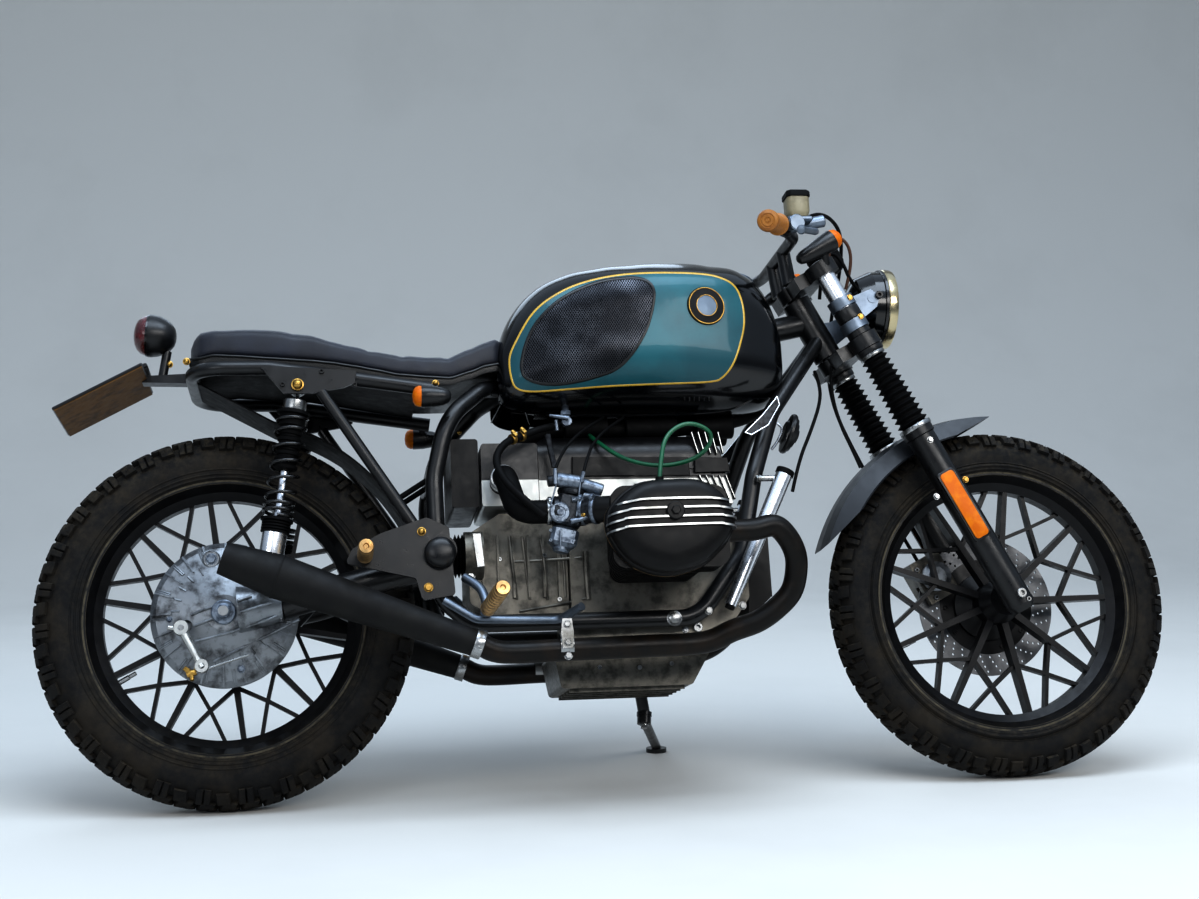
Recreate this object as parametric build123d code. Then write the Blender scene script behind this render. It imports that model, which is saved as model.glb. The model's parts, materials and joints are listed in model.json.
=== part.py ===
"""Cafe racer motorcycle with a flat twin engine, leaning on its side stand.

Millimetres. The bike is modelled upright, +X forward, +Y to its left and +Z up, with the origin on
the ground under the rear axle. The last step leans every piece over onto the side stand.
"""
from build123d import *
from math import cos, radians, sin, tan
import os

# Stance
lean = 14.0
rake = 27.0
fork_offset = 40.0
leg_spacing = 188.0
tyre_to_pivot = 39.0
pivot_to_crank = 369.0
crank_to_axle = 666.0
pivot_z = 416.0
crank_rise = 8.0
rail_drop = 124.0
seat_rail_rise = 329.0

# Tyres and rims
rim_radius = 241.0
rim_half_width = 42.0
rim_depth = 33.0
rim_wall = 8.0
rear_tyre_height = 85.0
rear_tyre_crown = 57.0
front_tyre_height = 78.0
front_tyre_crown = 52.0
tyre_wall = 11.0
lug_height = 7.0
lug_count = 27
rear_spokes = 10
front_spokes = 9
spoke_width = 13.0
spoke_depth = 26.0
cross_width = 6.5
rim_band_half = 13.0
hub_radius = 40.0
rear_hub_half_width = 44.0
front_hub_half_width = 50.0
axle_radius = 8.5
axle_bore_radius = 5.0

# Brakes and final drive
disc_radius = 130.0
disc_thickness = 5.0
disc_plane_y = 59.0
drum_radius = 112.0
drive_case_radius = 124.0
drive_case_inner_y = 50.0
drive_case_outer_y = 98.0
drive_rib_count = 20

# Frame
frame_tube = 30.0
seat_tube = 25.0
cradle_half_width = 128.0
plate_thickness = 8.0
mudguard_gap = 20.0
mudguard_wall = 3.0
mudguard_half_width = 64.0

# Shocks: the upper eye from the swing arm's axis, the lower one from the rear axle
shock_half_width = 131.0
shock_eye_width = 26.0
shock_top_x = -238.0
shock_top_z = 294.0
shock_bottom_x = 73.0
shock_bottom_z = 44.0
shock_body_radius = 21.5
spring_start = 112.0
spring_coils = 10

# Engine
block_half_width = 104.0
barrel_length = 132.0
head_length = 62.0
cover_length = 46.0
cylinder_stagger = 38.0
fin_thickness = 3.0
barrel_fins = 10
head_fins = 5
cover_fins = 4
sump_depth = 66.0
sump_fins = 5
gearbox_gap = 51.0
gearbox_ribs = 6
starter_cover_height = 132.0
starter_fins = 5
carb_y = 222.0
carb_radius = 27.0
carb_back = 158.0

# Exhaust
pipe_radius = 19.0
pipe_half_spacing = 190.0
muffler_splay = 20.0
muffler_mouth_radius = 37.0
muffler_end_radius = 27.0
muffler_wall = 3.0
muffler_tail = 90.0

# Fork, measured along the legs from the front axle
leg_radius = 26.0
leg_length = 352.0
gaiter_gap = 14.0
gaiter_folds = 12
stanchion_radius = 18.0
stanchion_top = 704.0
lower_yoke_s = 534.0
upper_yoke_s = 690.0
yoke_thickness = 26.0

# Bodywork
tank_half_width = 165.0
tank_rise = 248.0
tank_height = 304.0
tank_to_pivot = 113.0
tank_to_head = 138.0
cap_radius = 38.0
seat_half_width = 122.0
seat_flat_rise = 82.0
seat_flat_cut = 0.5
lamp_radius = 74.0
fender_gap = 28.0
fender_wall = 3.0
fender_half_width = 62.0

# Controls
bar_radius = 11.0
grip_radius = 17.0
grip_end_y = 335.0
peg_radius = 13.0
hose_radius = 3.5

# Side stand: its eye on the upright bike, and its foot
stand_eye = (750.0, 140.0, 138.0)
stand_foot_x = 811.0
stand_foot_y = 365.0
stand_foot_height = 8.0
stand_axis = (0.0933, 0.162, 0.982)
stand_radius = 9.0

lean_angle = radians(lean)
rim_inner_radius = rim_radius - rim_depth
rear_tyre_radius = rim_radius + rear_tyre_height
front_tyre_radius = rim_radius + front_tyre_height
rear_axle_z = rear_tyre_radius - rear_tyre_crown + rear_tyre_crown / cos(lean_angle)
front_axle_z = front_tyre_radius - front_tyre_crown + front_tyre_crown / cos(lean_angle)
pivot_x = rear_tyre_radius + tyre_to_pivot
engine_x = pivot_x + pivot_to_crank
wheelbase = engine_x + crank_to_axle
crank_z = pivot_z + crank_rise
rail_z = pivot_z - rail_drop
seat_top_z = pivot_z + seat_rail_rise + seat_flat_rise
barrel_end_y = block_half_width + barrel_length
head_end_y = barrel_end_y + head_length
cover_end_y = head_end_y + cover_length
gaiter_length = lower_yoke_s - yoke_thickness / 2 - gaiter_gap - leg_length
leg_y = leg_spacing / 2
fork = Plane(
    origin=(wheelbase, 0, front_axle_z),
    x_dir=(cos(radians(rake)), 0, sin(radians(rake))),
    z_dir=(-sin(radians(rake)), 0, cos(radians(rake))),
)
stand_foot_z = (stand_foot_height / 2 + stand_foot_y * sin(lean_angle)) / cos(lean_angle)
plate_y = cradle_half_width + frame_tube / 2
arm_half_width = cradle_half_width - frame_tube / 2
sides = ((-1, 0.0), (1, cylinder_stagger))
parts = {}


def rod(start, end, radius, end_radius=None):
    """Round bar or cone between two points."""
    line = Vector(end) - Vector(start)
    place = Location(Plane(origin=start, z_dir=line))
    if end_radius is None:
        return Solid.make_cylinder(radius, line.length).moved(place)
    return Solid.make_cone(radius, end_radius, line.length).moved(place)


def tube(points, bend, radius):
    """Bent round tube along straight runs joined by arcs of the given bend radius."""
    path = FilletPolyline(*points, radius=bend)
    start = Plane(origin=path @ 0, z_dir=path % 0)
    return sweep(start * Circle(radius), path=path)


def loose_bends(points):
    """Largest tidy bend radius at each inner corner of a hose's route."""
    bends = []
    for before, corner, after in zip(points, points[1:], points[2:]):
        first = Vector(corner) - Vector(before)
        second = Vector(after) - Vector(corner)
        turn = radians(first.get_angle(second))
        bends.append(0.45 * min(first.length, second.length) / tan(turn / 2))
    return bends


def plate(outline, y_high, y_low, rounding=0.0):
    """Flat plate with an outline of (x, z) points, standing between two values of y."""
    face = Plane.XZ.offset(-y_high) * make_face(Polyline(*outline, close=True))
    if rounding:
        face = fillet(face.vertices(), rounding)
    return extrude(face, amount=y_high - y_low)


def lathe_y(outline, x, z, arc=360.0):
    """Ring or disc turned about a line along Y, from (radius, y) points."""
    return revolve(make_face(Polyline(*outline, close=True)), Axis.Y, arc).moved(Location((x, 0, z)))


def lathe(outline, place):
    """Turned piece from (radius, height) points, about the z axis of a plane."""
    profile = Plane.XZ * make_face(Polyline(*outline, close=True))
    return revolve(profile, Axis.Z).moved(Location(place))


def block(x_low, x_high, y_low, y_high, z_low, z_high):
    """Box between two corners."""
    centre = ((x_low + x_high) / 2, (y_low + y_high) / 2, (z_low + z_high) / 2)
    return Pos(*centre) * Box(x_high - x_low, y_high - y_low, z_high - z_low)


def both_sides(piece):
    """The piece and its mirror image on the bike's other side."""
    return [piece, mirror(piece, about=Plane.XZ)]


def spread(count, low, high):
    """Evenly spaced values with both ends."""
    return [low + (high - low) * n / (count - 1) for n in range(count)]


def in_fork(n, y, s):
    """Point given ahead of, beside and along the fork legs."""
    return tuple(fork.from_local_coords(Vector(n, y, s)))


def from_head(n, s):
    """Point on the middle plane given ahead of and along the steering axis."""
    return in_fork(n - fork_offset, 0, s)


def from_rear_axle(x, y, z):
    """Point given from the rear axle, in the side view."""
    return (x, y, rear_axle_z + z)


def from_pivot(x, y, z):
    """Point given from the swing arm's pivot, in the side view."""
    return (pivot_x + x, y, pivot_z + z)


def from_crank(x, y, z):
    """Point given from the crankshaft under the right cylinder."""
    return (engine_x + x, y, crank_z + z)


def side_view(origin, *points):
    """(x, z) outline from points given with one of the functions above."""
    return [(origin(x, 0, z)[0], origin(x, 0, z)[2]) for x, z in points]


# Wheels: a lugged carcass on a rim, with straight spokes and an open cross between each pair

def tread_point(radius, crown, reach, angle):
    """(radius, y) at an angle across the tread, at a reach from the tread's centre of curve."""
    return (radius - crown + reach * cos(radians(angle)), reach * sin(radians(angle)))


def tyre(radius, crown):
    """Carcass from bead to bead with one row of middle lugs and two rows of shoulder lugs."""
    bare = crown - lug_height
    outer = [tread_point(radius, crown, bare, angle) for angle in (0, 22, 48, 72, 96)]
    outer += [(rim_radius + 4, rim_half_width + 3), (rim_radius, rim_half_width)]
    inner = [(rim_radius, rim_half_width - 10)]
    inner += [tread_point(radius, crown, bare - tyre_wall, angle) for angle in (80, 40, 0)]
    half = outer + inner
    other = [(r, -y) for r, y in reversed(outer[1:])]
    inner_side = [(r, -y) for r, y in inner[-2::-1]]
    carcass = revolve(make_face(Polyline(*other, *half, *inner_side, close=True)), Axis.Y)
    lugs = []
    rows = (
        # angles across the tread, share of the pitch, shift in pitches
        (-17, 17, 0.66, 0.5),
        (24, 58, 0.7, 0.0),
        (-58, -24, 0.7, 0.0),
    )
    pitch = 360.0 / lug_count
    for low, high, share, shift in rows:
        middle = (low + high) / 2
        top = [tread_point(radius, crown, crown, angle) for angle in (low, middle, high)]
        base = [tread_point(radius, crown, bare - 3, angle) for angle in (high, low)]
        lug = revolve(make_face(Polyline(*top, *base, close=True)), Axis.Y, pitch * share)
        lugs.extend(Rot(0, (n + shift - share / 2) * pitch, 0) * lug for n in range(lug_count))
    return carcass.fuse(*lugs)


def strip(start, end, start_width, end_width):
    """Flat tapered bar between two points of the wheel's plane."""
    line = Vector(*end) - Vector(*start)
    side = Vector(-line.Y, line.X).normalized()
    corners = [
        Vector(*start) + side * (start_width / 2),
        Vector(*end) + side * (end_width / 2),
        Vector(*end) - side * (end_width / 2),
        Vector(*start) - side * (start_width / 2),
    ]
    return make_face(Polyline(*corners, close=True))


def polar(radius, angle):
    """Point of the wheel's plane."""
    return (radius * cos(radians(angle)), radius * sin(radians(angle)))


def cast_wheel(count, first_angle, hub_half_width):
    """Rim, hub and spokes in one casting."""
    pitch = 360.0 / count
    straight = []
    crossed = []
    rim_end = rim_inner_radius + rim_wall / 2
    for turn in range(count):
        angle = first_angle + turn * pitch
        node = polar(0.76 * rim_inner_radius, angle + pitch / 2)
        root = polar(hub_radius - 6, angle)
        straight.append(strip(root, polar(rim_end, angle), spoke_width, 0.66 * spoke_width))
        for side in (-1, 1):
            rim_point = polar(rim_end, angle + pitch / 2 + side * 0.27 * pitch)
            spoke_point = polar(0.57 * rim_inner_radius, angle + pitch / 2 + side * pitch / 2)
            crossed.append(strip(node, rim_point, cross_width, cross_width))
            crossed.append(strip(node, spoke_point, cross_width, cross_width))
    bars = Sketch() + straight
    crosses = Sketch() + crossed
    wheel = extrude(Plane.XZ * bars, amount=spoke_depth / 2, both=True)
    wheel += extrude(Plane.XZ * crosses, amount=spoke_depth / 3, both=True)
    edge = rim_half_width
    well = rim_inner_radius + rim_wall
    wheel += revolve(make_face(Polyline(
        (rim_radius, edge), (rim_radius, edge - 6), (rim_radius - 9, edge - 8), (well, 8), (well, -8),
        (rim_radius - 9, 8 - edge), (rim_radius, 6 - edge), (rim_radius, -edge), (rim_radius - 7, -edge),
        (rim_radius - 19, -rim_band_half - 10), (rim_inner_radius, -rim_band_half),
        (rim_inner_radius, rim_band_half), (rim_radius - 19, rim_band_half + 10), (rim_radius - 7, edge), close=True,
    )), Axis.Y)
    bore = axle_radius + 0.3
    wheel += revolve(make_face(Polyline(
        (bore, -hub_half_width), (hub_radius - 10, -hub_half_width), (hub_radius, -16), (hub_radius, 16),
        (hub_radius - 10, hub_half_width), (bore, hub_half_width), close=True,
    )), Axis.Y)
    return wheel


def wheels():
    """Both wheels, tyres, axles and the front disc."""
    rear_place = Pos(0, 0, rear_axle_z)
    front_place = Pos(wheelbase, 0, front_axle_z)
    drum = revolve(make_face(Polyline(
        (hub_radius - 12, -20), (drum_radius - 14, -20), (drum_radius, -30), (drum_radius, -44),
        (drum_radius - 12, -44), (drum_radius - 12, -34), (hub_radius - 12, -34), close=True,
    )), Axis.Y)
    parts["rear_wheel"] = rear_place * (cast_wheel(rear_spokes, 97.8, rear_hub_half_width) + drum)
    parts["rear_tyre"] = rear_place * tyre(rear_tyre_radius, rear_tyre_crown)
    disc_inner_y = disc_plane_y - disc_thickness / 2
    flange = revolve(make_face(Polyline(
        (hub_radius - 14, 30), (hub_radius + 24, 46), (hub_radius + 24, disc_inner_y),
        (hub_radius - 14, disc_inner_y), close=True,
    )), Axis.Y)
    parts["front_wheel"] = front_place * (cast_wheel(front_spokes, 81.0, front_hub_half_width) + flange)
    parts["front_tyre"] = front_place * tyre(front_tyre_radius, front_tyre_crown)
    parts["front_disc"] = lathe_y(
        [(hub_radius + 2, disc_inner_y), (disc_radius, disc_inner_y),
         (disc_radius, disc_inner_y + disc_thickness), (hub_radius + 2, disc_inner_y + disc_thickness)],
        wheelbase, front_axle_z,
    )
    front_end_y = leg_y + leg_radius + 6
    ends = [(wheelbase, side * front_end_y, front_axle_z) for side in (-1, 1)]
    parts["front_axle"] = rod(*ends, axle_radius) - rod(*ends, axle_bore_radius)
    axle_end = from_rear_axle(0, -drive_case_outer_y - 26, 0)
    parts["rear_axle"] = rod(axle_end, from_rear_axle(0, 112, 0), axle_radius)


# Chassis

backbone_front = from_head(-4, upper_yoke_s - 62)
backbone_end = from_pivot(130, 0, 322)


def frame():
    """Backbone, steering head, twin cradle, the loops behind the engine and the side stand's bracket."""
    head_low = from_head(0, lower_yoke_s + yoke_thickness / 2 + 4)
    head_high = from_head(0, upper_yoke_s - yoke_thickness / 2 - 4)
    steering_head = rod(head_low, head_high, 27)
    backbone = rod(backbone_front, backbone_end, 22)
    down_start = from_head(-8, lower_yoke_s + 52)
    side = cradle_half_width
    cradle_points = [
        (down_start[0], -12, down_start[2]),
        from_crank(236, -96, 240),
        from_crank(190, -122, 120),
        from_crank(158, -side, -20),
        (engine_x + 74, -side, rail_z),
        (pivot_x + 50, -side, rail_z),
        from_pivot(-4, -side, -76),
        from_pivot(-8, -side, 130),
        from_pivot(16, -side, 236),
        from_pivot(84, -78, 300),
        (backbone_end[0] + 10, -6, backbone_end[2]),
    ]
    bends = [90, 90, 60, 70, 60, 60, 120, 120, 50]
    cradle = tube(cradle_points, bends, frame_tube / 2)
    cross_rail = rod((pivot_x + 60, -side, rail_z), (pivot_x + 60, side, rail_z), 12)
    upper_cross = rod(from_pivot(-8, -side, 150), from_pivot(-8, side, 150), 11)
    steering_bore = rod(from_head(0, lower_yoke_s), from_head(0, upper_yoke_s), 14.5)
    pivot_boss = rod(from_pivot(0, -side - frame_tube / 2, 0), from_pivot(0, -arm_half_width, 0), 24)
    eye = Vector(stand_eye)
    axis = Vector(stand_axis)
    bracket = rod(eye + axis * 7.5, eye + axis * 15, 14)
    bracket += rod(eye - axis * 9, eye + axis * 8, 5)
    bracket += rod(eye + axis * 12, (stand_eye[0] - 20, side, rail_z), 11)
    body = Part() + [steering_head, backbone, cross_rail, upper_cross, bracket]
    body += both_sides(cradle) + both_sides(pivot_boss)
    parts["frame"] = body - steering_bore


def rear_subframe():
    """Seat rails, struts and the gussets that take the shocks."""
    side = cradle_half_width + 2
    inner = shock_half_width + shock_eye_width / 2 + 0.3
    rise = seat_rail_rise
    seat_rail = tube(
        [from_pivot(-420, 0, rise), from_pivot(-420, -side, rise), from_pivot(-287, -side, rise),
         from_pivot(2, -side, rise - 42)],
        [60, 60], seat_tube / 2,
    )

    def from_shock(x, y, z):
        return from_pivot(shock_top_x + x, y, shock_top_z + z)

    strut = rod(from_shock(40, -inner, -12), from_pivot(-42, 10.5 - plate_y, 44), 10)
    gusset = plate(
        side_view(from_shock, (-61, 30), (-35, -2), (-23, -16), (23, -16), (79, -6), (97, 2), (100, 22)),
        -inner, -inner - 6,
    )
    flange = plate(side_view(from_shock, (-61, 34), (-61, 28), (100, 18), (100, 24)), -side, -inner - 6)
    bolt = rod(from_shock(0, 16 - shock_half_width, 0), from_shock(0, -inner - 10, 0), 5)
    right = Part() + [seat_rail, strut, gusset, flange, bolt]
    parts["rear_subframe"] = Part() + both_sides(right)


def side_plates():
    """Plates at the swing arm's pivot that carry the foot rests."""
    outline = side_view(
        from_pivot, (-162, -18), (-150, 6), (-102, 32), (-24, 58), (14, 40), (22, -76), (-34, -84), (-44, -46),
        (-102, -32),
    )
    flat = plate(outline, -plate_y, -plate_y - plate_thickness, 7)
    cap_y = -plate_y - plate_thickness
    cap = rod(from_pivot(0, cap_y, 0), from_pivot(0, cap_y - plate_thickness, 0), 26)
    parts["side_plates"] = Compound(both_sides(flat + cap))


def mudguard():
    """Rear mudguard: an arc round the tyre's front and a flat tray to the tail, on its tabs."""
    inner = rear_tyre_radius + mudguard_gap
    outer = inner + mudguard_wall
    low_angle, high_angle = 22.0, 76.0
    half = mudguard_half_width
    outline = [(inner, -half), (outer, -half), (outer, half), (inner, half)]
    arc = Pos(0, 0, rear_axle_z) * Rot(0, -low_angle, 0) * revolve(
        make_face(Polyline(*outline, close=True)), Axis.Y, low_angle - high_angle,
    )
    top_inner = polar(inner, high_angle)
    top_outer = polar(outer, high_angle)
    tail = from_pivot(-411, 0, seat_rail_rise - 10)
    tray = plate(
        [(top_inner[0], rear_axle_z + top_inner[1]), (top_outer[0], rear_axle_z + top_outer[1]),
         (tail[0], tail[2] + mudguard_wall), (tail[0], tail[2])],
        half, -half,
    )
    tab_low = polar(inner + 1, 34)
    tab = rod((tab_low[0], -40, rear_axle_z + tab_low[1]), from_pivot(-8, -40, 150), 5)
    guard = Part() + [arc, tray] + both_sides(tab)
    parts["rear_mudguard"] = guard - parts["frame"] - parts["rear_subframe"]


def finned(centre_x, sign, start_y, end_y, core, fins, count):
    """Rounded block along Y with square fins round it. core and fins are (length, height, corner)."""
    place = Pos(centre_x, 0, crank_z)
    section = Plane.XZ.offset(-sign * start_y) * RectangleRounded(*core)
    solid = place * extrude(section, amount=-sign * (end_y - start_y))
    pieces = []
    for y in spread(count, start_y + fin_thickness, end_y - fin_thickness / 2):
        face = Plane.XZ.offset(-sign * (y - fin_thickness / 2)) * RectangleRounded(*fins)
        pieces.append(place * extrude(face, amount=-sign * fin_thickness))
    return solid + pieces


def crankcase():
    """Engine block, front cover, gearbox, sump and the cover over the starter."""
    half = block_half_width
    parts["engine_block"] = plate(
        side_view(from_crank, (-144, 76), (128, 76), (172, 20), (172, -96), (112, -176), (-144, -176)),
        half, -half, 14,
    )
    front = plate(side_view(from_crank, (172, 66), (210, 20), (212, -96), (172, -130)), half - 8, 8 - half)
    front -= parts["engine_block"]
    for y in spread(7, 24 - half, half - 24):
        front += plate(side_view(from_crank, (196, 22), (218, 16), (219, -92), (196, -96)), y + 2, y - 2)
    parts["front_cover"] = front
    sump_top = crank_z - 177
    sump_low = sump_top - sump_depth
    sump = plate(
        [(engine_x - 178, sump_top), (engine_x - 166, sump_low), (engine_x + 64, sump_low),
         (engine_x + 104, sump_top)],
        half - 12, 12 - half, 8,
    )
    for y in spread(sump_fins, 28 - half, half - 28):
        sump += block(engine_x - 150, engine_x + 52, y - 2, y + 2, sump_low - 6, sump_low + 4)
    parts["sump"] = sump
    rear_x = pivot_x + gearbox_gap
    front_x = engine_x - 146
    case_half = half - 16
    case = plate(
        [(front_x, crank_z + 60), (rear_x + 56, crank_z + 66), (rear_x, crank_z + 30), (rear_x, crank_z - 92),
         (rear_x + 56, crank_z - 120), (front_x, crank_z - 120)],
        case_half, -case_half, 12,
    )
    for x in spread(gearbox_ribs, rear_x + 24, front_x - 16):
        for side in (-1, 1):
            case += block(
                x - 2, x + 2, min(side * case_half, side * (case_half + 6)) - 1,
                max(side * case_half, side * (case_half + 6)), crank_z - 84, crank_z + 26,
            )
    case += rod((rear_x - 8, -86, pivot_z), (rear_x + 24, -86, pivot_z), 42)
    parts["gearbox"] = case
    boot_end = rear_x - 8
    boot_start = pivot_x + 24.5
    fold = (boot_end - boot_start) / 3
    outline = [(25.3, 0)]
    for n in range(3):
        outline += [(30, n * fold), (38, (n + 0.5) * fold)]
    outline += [(32, 3 * fold), (25.3, 3 * fold)]
    boot = lathe(outline, Plane(origin=(boot_start, -86, pivot_z), z_dir=(1, 0, 0)))
    parts["shaft_boot"] = boot
    cover_low = crank_z + 77
    top = cover_low + starter_cover_height
    cover = plate(
        [(engine_x - 190, cover_low), (engine_x - 190, top - 14), (engine_x - 172, top), (engine_x + 118, top),
         (engine_x + 140, top - 36), (engine_x + 158, cover_low)],
        case_half, -case_half,
    )
    arch = Plane.YZ.offset(engine_x - 200) * (
        Pos(0, top - 100) * RectangleRounded(2 * case_half, 200, 44)
        + Pos(0, cover_low + 20) * Rectangle(2 * case_half, 40)
    )
    cover = cover & extrude(arch, amount=400)
    for z in spread(starter_fins, cover_low + 14, cover_low + 66):
        for side in (-1, 1):
            wall = side * case_half
            cover += block(engine_x - 20, engine_x + 120, wall - 3, wall + 3, z - 2, z + 2)
    parts["starter_cover"] = cover


def cylinders():
    """Finned barrels and heads with their ports, and the valve covers."""
    pairs = []
    covers = []
    for sign, shift in sides:
        centre = engine_x + shift
        pair = finned(
            centre, sign, block_half_width, barrel_end_y, (120, 104, 24), (150, 130, 20), barrel_fins,
        )
        pair += finned(centre, sign, barrel_end_y, head_end_y, (176, 118, 24), (196, 138, 24), head_fins)
        port_y = sign * (barrel_end_y + 26)
        pair += rod((centre + 60, port_y, crank_z - 4), (centre + 98, port_y, crank_z - 4), pipe_radius + 6)
        pair += rod(stub_point(sign, centre, 0.55), stub_point(sign, centre, 1.4), 22)
        pairs.append(pair)
        outline = [(centre + x, crank_z + z) for x, z in (
            (-108, -14), (-108, 22), (-54, 74), (52, 76), (92, 48), (106, 8), (100, -16), (58, -64), (-10, -84),
            (-74, -64),
        )]
        inner = [(centre + 0.9 * (x - centre), crank_z + 0.88 * (z - crank_z)) for x, z in outline]
        base = plate_between(outline, sign, head_end_y, head_end_y + 12)
        body = plate_between(inner, sign, head_end_y + 10, cover_end_y - 10)
        ribs = [
            block(centre - 120, centre + 120, -cover_end_y, cover_end_y, crank_z + z - 3, crank_z + z + 3)
            for z in spread(cover_fins, -7, 39)
        ]
        face = plate_between(inner, sign, cover_end_y - 12, cover_end_y) & (Part() + ribs)
        nut = rod((centre, sign * (cover_end_y - 14), crank_z), (centre, sign * cover_end_y, crank_z), 14)
        covers.append(base + body + face + nut)
    parts["cylinders"] = Compound(pairs)
    parts["valve_covers"] = Compound(covers)


def plate_between(outline, sign, near, far):
    """Rounded plate on one side of the bike, between two distances from the middle plane."""
    return plate(outline, max(sign * near, sign * far), min(sign * near, sign * far), 14)


def stub_point(sign, centre, share):
    """Point along the intake stub, from the carburettor at 0 to the cylinder head at 1 and beyond."""
    start = Vector(centre - carb_back + 8, sign * carb_y, crank_z + 42)
    end = Vector(centre - 90, sign * (barrel_end_y + 24), crank_z + 38)
    return start + (end - start) * share


def swing_arm():
    """Swing arm with the shaft tube on the right, the final drive and its brake arm."""
    shaft_end = from_rear_axle(96, -94, 10)
    right_arm = rod(from_pivot(34, -86, 0), shaft_end, 25)
    left_route = [from_pivot(0, 92, 0), from_rear_axle(150, 92, 20), from_rear_axle(-26, 90, 0)]
    left_arm = tube(left_route, [300], 17)
    cross = rod(from_pivot(-14, -86, -4), from_pivot(-14, 92, -4), 18)
    pivot = rod(from_pivot(0, -arm_half_width, 0), from_pivot(0, arm_half_width, 0), 17)
    lug = rod(from_rear_axle(0, 74, 0), from_rear_axle(0, 108, 0), 26)
    eye_x, eye_z = shock_bottom_x, shock_bottom_z
    inner = shock_half_width - shock_eye_width / 2 - 0.3
    left_ear = rod(from_rear_axle(eye_x, 92, 16), from_rear_axle(eye_x, 104, eye_z), 12)
    left_ear += rod(from_rear_axle(eye_x, 96, eye_z), from_rear_axle(eye_x, inner, eye_z), 12)
    arm = Part() + [right_arm, left_arm, cross, pivot, lug, left_ear]
    arm -= rod(from_rear_axle(0, 60, 0), from_rear_axle(0, 130, 0), axle_radius + 0.3)
    arm -= block(pivot_x + 25, pivot_x + 80, -140, -40, pivot_z - 60, pivot_z + 60)
    parts["swing_arm"] = arm - parts["shaft_boot"] - parts["frame"]
    inner_y, outer_y = drive_case_inner_y, drive_case_outer_y
    case = lathe_y(
        [(axle_radius + 0.3, -inner_y), (drive_case_radius - 6, -inner_y), (drive_case_radius, -inner_y - 6),
         (drive_case_radius, -inner_y - 16), (drive_case_radius - 10, -inner_y - 26), (44, -outer_y),
         (30, -outer_y - 4), (axle_radius + 0.3, -outer_y - 4)],
        0, rear_axle_z,
    )
    rib = revolve(make_face(Polyline(
        (88, -inner_y - 20), (drive_case_radius - 1, -inner_y - 16), (drive_case_radius - 1, -inner_y - 24),
        (drive_case_radius - 12, -inner_y - 31), (88, -inner_y - 40), close=True,
    )), Axis.Y, 1.6)
    pitch = 360.0 / drive_rib_count
    case += [Pos(0, 0, rear_axle_z) * Rot(0, n * pitch, 0) * rib for n in range(drive_rib_count)]
    nose = rod(from_rear_axle(24, -92, 4), from_rear_axle(97, -94, 10), 40, 28)
    low_eye = Vector(*from_rear_axle(eye_x, -shock_half_width, eye_z))
    eye_room = rod(low_eye + Vector(0, -13.2, 0), low_eye + Vector(0, 13.2, 0), 15.3)
    upper_ear = rod(from_rear_axle(44, -92, 40), from_rear_axle(eye_x, -108, eye_z), 16, 12)
    upper_ear += rod(from_rear_axle(eye_x, -100, eye_z), from_rear_axle(eye_x, -inner, eye_z), 12)
    keep_axle = rod(from_rear_axle(0, -200, 0), from_rear_axle(0, 0, 0), axle_radius + 0.3)
    spindle = rod(from_rear_axle(-62, -72, -20), from_rear_axle(-62, -outer_y - 10, -20), 10)
    parts["final_drive"] = case + nose + upper_ear - keep_axle - arm - spindle - eye_room
    lever = rod(from_rear_axle(-62, -outer_y - 2, -20), from_rear_axle(-36, -outer_y - 14, -86), 7)
    parts["brake_lever"] = lever + spindle - parts["final_drive"]


def shocks():
    """Spring and damper on each side. The spring's coils are ridges of one sleeve."""
    top = Vector(*from_pivot(shock_top_x, -shock_half_width, shock_top_z))
    bottom = Vector(*from_rear_axle(shock_bottom_x, -shock_half_width, shock_bottom_z))
    place = Plane(origin=bottom, z_dir=top - bottom)
    length = (top - bottom).length
    body = shock_body_radius
    damper = lathe(
        [(0, 14), (body, 14), (body, spring_start), (7, spring_start), (7, length - 96), (body, length - 96), (body, length - 22),
         (7, length - 22), (7, length - 10), (0, length - 10)],
        place,
    )
    half = shock_eye_width / 2
    eyes = [rod(point + Vector(0, -half, 0), point + Vector(0, half, 0), 15) for point in (top, bottom)]
    bolt = rod(top + Vector(0, 16, 0), top + Vector(0, -30, 0), 5.2)
    parts["shock_dampers"] = Compound(both_sides(damper + eyes - bolt))
    start, end = spring_start - 12, length - 30.0
    step = (end - start) / spring_coils
    outline = [(body + 0.6, start)]
    for coil in range(spring_coils):
        low = start + coil * step
        outline += [(body + 1.6, low + 0.05 * step), (body + 6.6, low + 0.32 * step)]
        outline += [(body + 6.6, low + 0.62 * step), (body + 1.6, low + 0.88 * step)]
    outline.append((body + 0.6, end))
    parts["shock_springs"] = Compound(both_sides(lathe(outline, place)))


def tank_x(share):
    """Place along the tank, from 0 at its rear to 1 at its front."""
    rear = pivot_x + tank_to_pivot
    front = from_head(-tank_to_head, lower_yoke_s)[0]
    return rear + share * (front - rear)


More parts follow.
